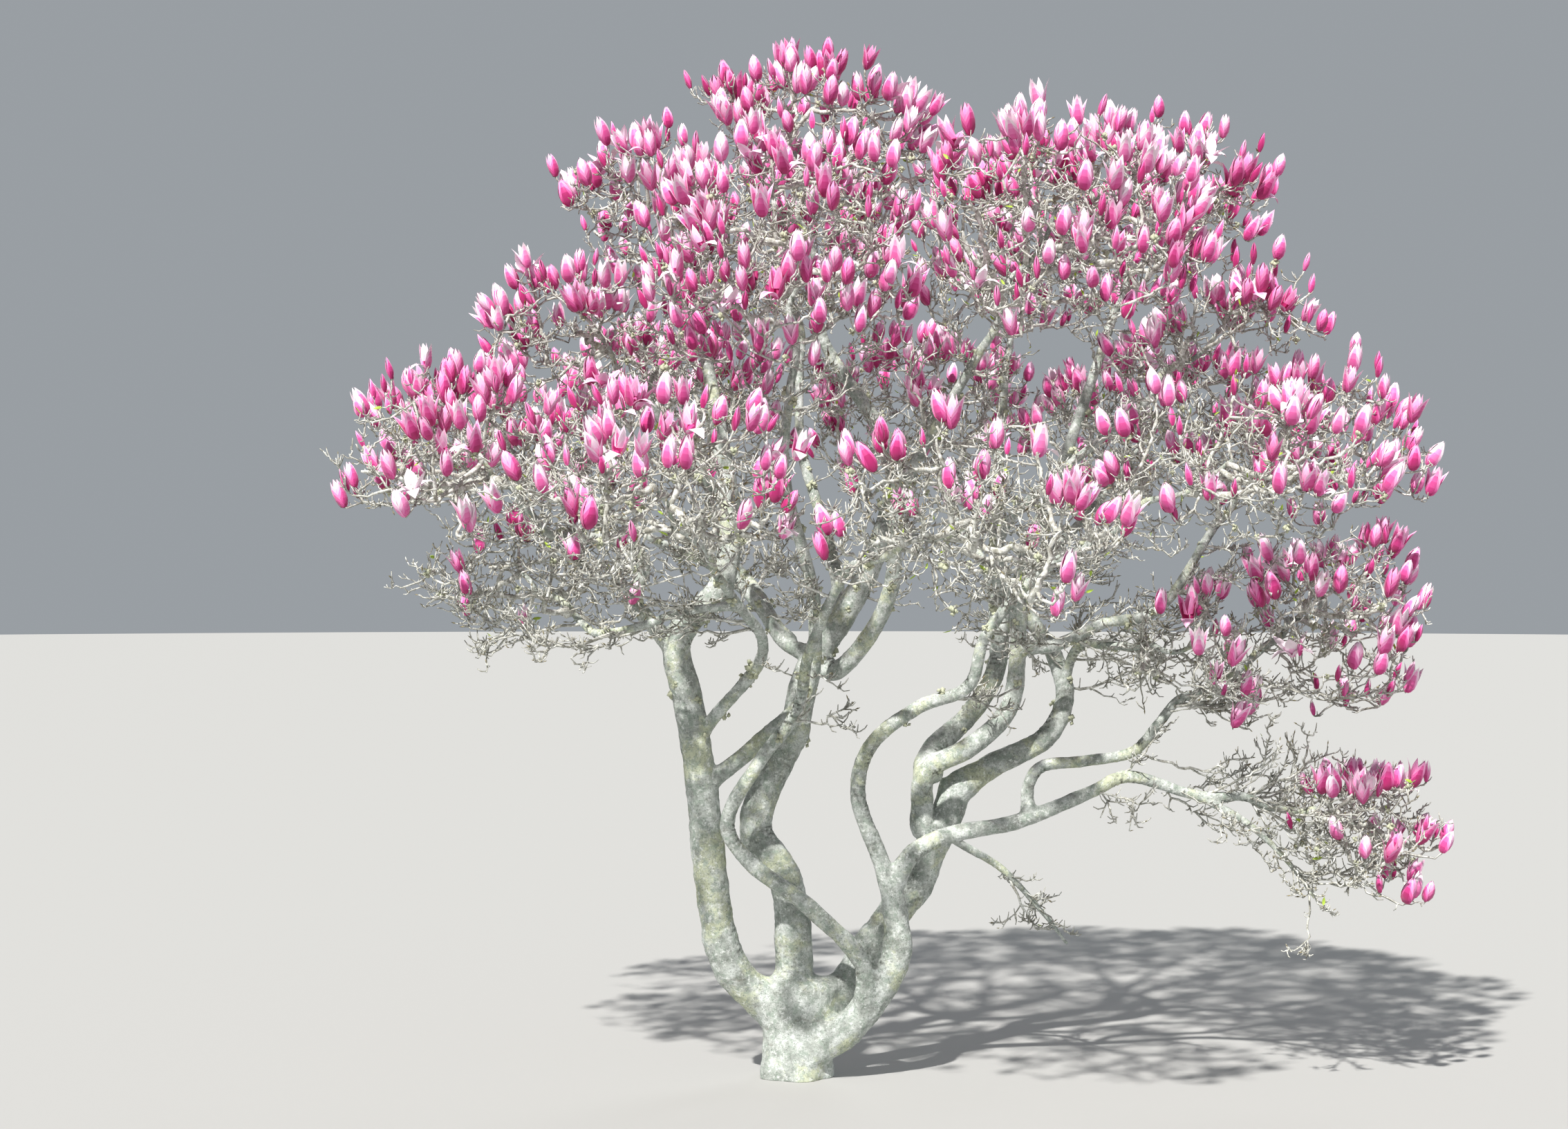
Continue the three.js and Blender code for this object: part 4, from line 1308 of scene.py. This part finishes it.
def noise_at(points, length, shift):
    """Noise from -1 to 1 at points in millimetres."""
    return np.array([noise.noise(p) for p in (points / length + shift).tolist()])


def rows_of(source, name):
    """The rows of three numbers that a mesh has under a name."""
    rows = np.empty(len(source) * 3, np.float32)
    source.foreach_get(name, rows)
    return rows.reshape(-1, 3).astype(float)


def add_relief(piece, samples):
    """Lumps, ring wrinkles and crusts of lichen, moved along the normals, and painted shade for the creases
    of the wrinkles, most in the hollows of bends.
    """
    mesh = piece.data
    points = rows_of(mesh.vertices, "co") / MM
    normals = rows_of(mesh.vertex_normals, "vector")
    places, radii, far, hollow = samples
    tree = KDTree(len(places))
    for i, p in enumerate(places.tolist()):
        tree.insert(p, i)
    tree.balance()
    near = np.array([tree.find(p)[1] for p in points.tolist()])
    r = radii[near]
    broad, mid, fine, patch = (noise_at(points, *wave) for wave in (LUMPS, BUMPS, CRUMBS, PATCHES))
    inner = np.clip((normals * hollow[near]).sum(1), 0, HOLLOW_MOST)
    phase = far[near] / WRINKLE_LENGTH + 0.9 * mid + 0.8 * broad
    wrinkle = np.abs(np.sin(np.pi * phase)) - 0.6
    where = np.clip(0.1 + 1.3 * patch, 0, 0.8) + 1.5 * inner
    crust = np.clip((mid + 0.5 * fine - 0.12) * 5, 0, 1)
    move = r * (LUMP_SHARE * broad + BUMP_SHARE * mid) + WRINKLE_HEIGHT * wrinkle * where
    move += CRUST_HEIGHT * crust + CRUMB_HEIGHT * fine
    move *= np.clip(r / FULL_FROM, *FULL_LIMITS)
    points += normals * move[:, None]
    points[:, 2] = np.where(points[:, 2] < LEVEL_BELOW, 0, points[:, 2])
    mesh.vertices.foreach_set("co", (points * MM).astype(np.float32).ravel())
    # Painted shade in the creases of the ring wrinkles, deepest in the hollows of bends, kept for the bark's
    # colour
    crease_shade = mesh.attributes.new("crease_shade", "FLOAT", "POINT")
    crease_shade_amount = np.clip((0.1 - wrinkle) * (where - 0.3) * 1.5, 0, CREASE_SHADE_MOST)
    crease_shade.data.foreach_set("value", crease_shade_amount.astype(np.float32))
    mesh.update()


def samples_of(runs):
    """Places along limbs with the radius, the way run so far and where the bend is hollow."""
    rows = []
    for points, radii in runs:
        steps = np.linalg.norm(np.diff(points, axis=0), axis=1)
        ways = unit_rows(np.gradient(points, axis=0))
        bend = np.gradient(ways, axis=0) / max(steps.mean(), 1)
        rows.append((points, radii, np.concatenate([[0], np.cumsum(steps)]), bend * HOLLOW_GAIN))
    return [np.concatenate(column) for column in zip(*rows)]


def bark_piece(name, names, with_stump=False):
    """Bark of limbs in one skin; the stump's has their feet, and the others sink into it there."""
    heap = Heap()
    runs = []
    for limb_name in names:
        points, radii = limb_run(limb_name)
        if limb_name in STUMP_OVERLAP:
            far = np.linspace(0, 1, len(points)) * (len(points) - 1) * RING_STRIDE
            sink = np.clip((far - STUMP_OVERLAP[limb_name] + SINK_SPAN) / SINK_SPAN, 0, 1)
            if with_stump:
                keep = far < STUMP_OVERLAP[limb_name]
                points, radii = points[keep], (radii + SWELL - (SWELL + SUNK) * sink)[keep]
            else:
                radii = radii - SUNK * (1 - sink)
        runs.append((points, radii))
        heap.add(*tubes(points[None], radii[None], LIMB_SIDES))
    if with_stump:
        add_stump(heap)
        core = np.array([[CORE_ASIDE + STUMP_LEAN * z, 0, z] for z in range(0, CORE_TOP, 10)])
        runs.append((core, np.full(len(core), CORE_RADIUS)))
    piece = heap.make(name, [BARK])
    if with_stump:
        smoothed(piece, WEB_VOXEL, WEB_ROUNDS)
    smoothed(piece, VOXEL, SKIN_ROUNDS)
    if with_stump:
        cut_at_ground(piece)
    add_relief(piece, samples_of(runs))
    return piece


BARKS = {
    "bark_of_left_stem": ["stem_left", "bough_left_low", "bough_left_outer", "bough_left_front",
                          "bough_left_middle"],
    "bark_of_middle_stem": ["stem_middle", "stem_middle_upper", "bough_middle_right", "bough_middle_left",
                            "bough_middle_back", "bough_back_left", "bough_inner_left"],
    "bark_of_right_stem": ["stem_right", "stem_front", "limb_rising", "limb_long", "limb_long_upper",
                           "limb_long_lower"],
    "bark_of_back_stem": ["stem_back", "limb_back", "bough_drooping", "limb_upright", "limb_behind",
                          "bough_right", "bough_right_low", "bough_back", "bough_inner_right"],
}

# Groups of masses, each with its own pieces
GROUPS = {
    "top": ["crown_top", "crown_upper_1", "crown_upper_2", "crown_upper_3"],
    "upper_front": ["crown_upper_4", "crown_upper_5", "crown_upper_6", "crown_inner_left"],
    "rim_back": ["crown_rim_2", "crown_rim_3", "crown_rim_4", "crown_rim_5"],
    "rim_front": ["crown_rim_6", "crown_rim_7", "crown_rim_8", "crown_inner_right"],
    "low": ["crown_rim_9", "crown_rim_1", "crown_thicket", "crown_right_low", "crown_right_foot",
            "crown_low_left"],
}
group_of = {name: group for group, names in GROUPS.items() for name in names}
for index, mass in enumerate(masses):
    mass["group"] = group_of[mass["name"]]
    mass["stem"], mass["twigs"] = main_twigs(mass, index)

finish_piece(bark_piece("bark_of_stump", list(STUMP_OVERLAP), True), "bark", "trunk")
for name, names in BARKS.items():
    finish_piece(bark_piece(name, names), "bark", *names)


def add_growth(heap, growth):
    """Tubes for all twigs of a growth, as thick as what they carry, with their spurs."""
    by_sides = {6: ([], []), 4: ([], []), 3: ([], [])}
    for path, kind, load in list(zip(growth.paths, growth.kinds, growth.loads()))[1:]:
        start, gain, end = THICKNESS[kind]
        t = np.linspace(0, 1, len(path))
        radius = mix(start + gain * math.sqrt(load), end, t**0.8) * (1 + growth.rng.normal(0, UNEVEN, len(t)))
        if kind == "blooming":
            radius[-1] = BLOSSOM_FOOT
        sides = 6 if kind in ("main", "bough") else 4 if load > 4 and len(path) > 4 else 3
        paths, radii = by_sides[sides]
        paths.append(path)
        radii.append(radius)
    for sides, (paths, radii) in by_sides.items():
        add_tubes(heap, paths, radii, sides)
    spurs = spurs_on(growth)
    add_tubes(heap, spurs, [np.array(SPUR_RADII)] * len(spurs), 3)


def more_side_blossoms(name):
    return HANGING_MORE if name in HANGING else UPPER_MORE if name.startswith(UPPER) else 1


twig_heaps = {group: Heap() for group in GROUPS}
for index, mass in enumerate(masses):
    rng = np.random.default_rng(FIRST_SEED + index)
    growth = Growth(mass["stem_path"], "stem", rng, mass)
    for twig in mass["twigs"]:
        root, owner = growth.nearest(twig["root"], 0)
        end = twig["base"] + twig["axis"] * MAIN_PAST
        path = twig_path(root, twig["bend"], end, twig["axis"], GNARL["main"], rng)
        twig["mine"] = growth.add(path, owner, "main")
    boughs = round(BOUGHS_FOR_SPRAY * mass["sprays"])
    first = rng.uniform(0, 2 * np.pi)
    for k in range(boughs):
        add_inner_bough(growth, first + 2 * np.pi * k / boughs + rng.uniform(-0.4, 0.4))
    for twig in mass["twigs"]:
        add_spray(growth, twig)
    for _ in range(int(SIDE_FOR_SPRAY * mass["sprays"] * more_side_blossoms(mass["name"]))):
        add_side_blossom(growth)
    for _ in range(int(BARE_FOR_SPRAY * mass["sprays"] * BARE_MORE.get(mass["name"], 1))):
        add_bare_twig(growth)
    add_growth(twig_heaps[mass["group"]], growth)
    for path in growth.paths[1:]:
        for spot in path[1:]:
            sprout(tufts, "tuft", spot, UP, rng)

rng = np.random.default_rng(FIRST_SEED - 1)
shoots = Heap()
for name in SHOOTS:
    growth = Growth(limbs[name]["line"], "limb", rng)
    add_shoots(growth, name)
    add_growth(shoots, growth)
finish_piece(shoots.make("shoots_of_limbs", [TWIG]), "bark")

for group, heap in twig_heaps.items():
    finish_piece(heap.make(f"twigs_{group}", [TWIG]), "bark", *GROUPS[group])

# Blossoms, those of one kind and one tint together
rng = np.random.default_rng(FIRST_SEED)
for group in GROUPS:
    heap = Heap()
    for kind, petals in BLOSSOM_SHAPES.items():
        points, quads, tris, quad_tones, tri_tones = join_petals(petals)
        for tint in sorted(set(TINTS)):
            rows = [row[1:4] for row in blossoms if (row[0], row[4], row[5]) == (kind, tint, group)]
            if rows:
                tones = {4: np.clip(quad_tones + tint, 0, PALEST), 3: np.clip(tri_tones + tint, 0, PALEST)}
                add_copies(heap, points, (quads, tris), rows, 1, rng, tones)
    finish_piece(heap.make(f"blossoms_{group}", PETALS), "blossom", *GROUPS[group])


def small_pieces(name, shape, rows, full, material, slot):
    """One piece of all small things of a sort, from a shape with its full height."""
    heap = Heap()
    add_copies(heap, shape[0], [shape[1]], rows, full, rng)
    finish_piece(heap.make(name, [material]), slot)


def spindle():
    """A pointed winter bud with three sides."""
    points = [(r * math.cos(a), r * math.sin(a), z) for r, z in ((1.6, -1), (2.9, 6)) for a in (0, 2.1, 4.2)]
    points.append((0, 0, 16))
    faces = [(k, (k + 1) % 3, 3 + k) for k in range(3)]
    faces += [((k + 1) % 3, 3 + (k + 1) % 3, 3 + k) for k in range(3)]
    faces += [(3 + k, 3 + (k + 1) % 3, 6) for k in range(3)]
    return np.array(points, float), np.array(faces)


def tuft():
    """A clump of lichen: crumbs of eight faces in a ball."""
    draws = np.random.default_rng(7)
    ways = np.array([(1, 0, 0), (0, 1, 0), (-1, 0, 0), (0, -1, 0), (0, 0, 1), (0, 0, -1)], float)
    walls = [(0, 1, 4), (1, 2, 4), (2, 3, 4), (3, 0, 4), (1, 0, 5), (2, 1, 5), (3, 2, 5), (0, 3, 5)]
    points, faces = [], []
    for k in range(9):
        middle = unit(draws.normal(0, 1, 3) + (0, 0, 0.3)) * draws.uniform(5, 13)
        points.append(middle + ways * draws.uniform(4, 10, (6, 1)))
        faces.append(np.array(walls) + 6 * k)
    return np.concatenate(points), np.concatenate(faces)


for name, limb in limbs.items():
    many = int(TUFTS_PER_METRE * limb["curve"].length / 1000)
    for share in rng.uniform(0.1, 1, many):
        at, on = limb["curve"].at([share - 0.01, share])
        if at[2] > TUFTED_FROM:
            out = across(unit(on - at), rng)
            radius = mix(*limb["thick"], share ** limb["taper"]) / 2
            tufts.append((on + out * radius * 0.9, out, rng.uniform(*TUFT_LENGTHS)))

small_pieces("lichen_tufts", tuft(), tufts, 20, TUFT, "bark")
small_pieces("winter_buds", spindle(), buds, 16, FELT, "bark")
small_pieces("bud_scales", SCALE_SHAPE, scales, 20, SCALE, "bark")
small_pieces("young_leaves", LEAF_SHAPE, leaves, 30, LEAF, "blossom")

# Floor, light and camera
bpy.ops.object.select_all(action="DESELECT")
bpy.ops.mesh.primitive_circle_add(vertices=96, radius=60, fill_type="NGON", location=(0, 0, 0))
floor = bpy.context.object
floor.name = "floor"
floor_material, floor_shader = new_material("floor_paint", 0.9)
set_inputs(floor_shader, {"Base Color": (0.42, 0.42, 0.41, 1)})
floor.data.materials.append(floor_material)

world = bpy.data.worlds.new("studio")
bpy.context.scene.world = world
world.use_nodes = True
set_inputs(world.node_tree.nodes["Background"], {"Color": (0.80, 0.86, 0.92, 1), "Strength": 0.4})


def add_sun(name, strength, angle, azimuth, elevation, tone):
    lamp = bpy.data.lights.new(name, "SUN")
    lamp.energy = strength
    lamp.angle = math.radians(angle)
    lamp.color = tone
    sun = new_object(name, lamp)
    a, e = math.radians(azimuth), math.radians(elevation)
    toward = Vector((math.sin(a) * math.cos(e), -math.cos(a) * math.cos(e), math.sin(e)))
    sun.rotation_euler = toward.to_track_quat("Z", "Y").to_euler()


add_sun("key", strength=5.9, angle=1.5, azimuth=-24, elevation=48, tone=(1.0, 0.97, 0.93))
add_sun("fill", strength=0.5, angle=25, azimuth=150, elevation=35, tone=(0.92, 0.96, 1.0))

camera_data = bpy.data.cameras.new("camera")
camera_data.lens = 59.5
camera_data.sensor_width = 36
camera = new_object("camera", camera_data)
camera.location = (-0.042, -9.0, 1.775)
camera.rotation_euler = (math.radians(90), 0, 0)
bpy.context.scene.camera = camera
bpy.context.scene.view_settings.view_transform = "Standard"
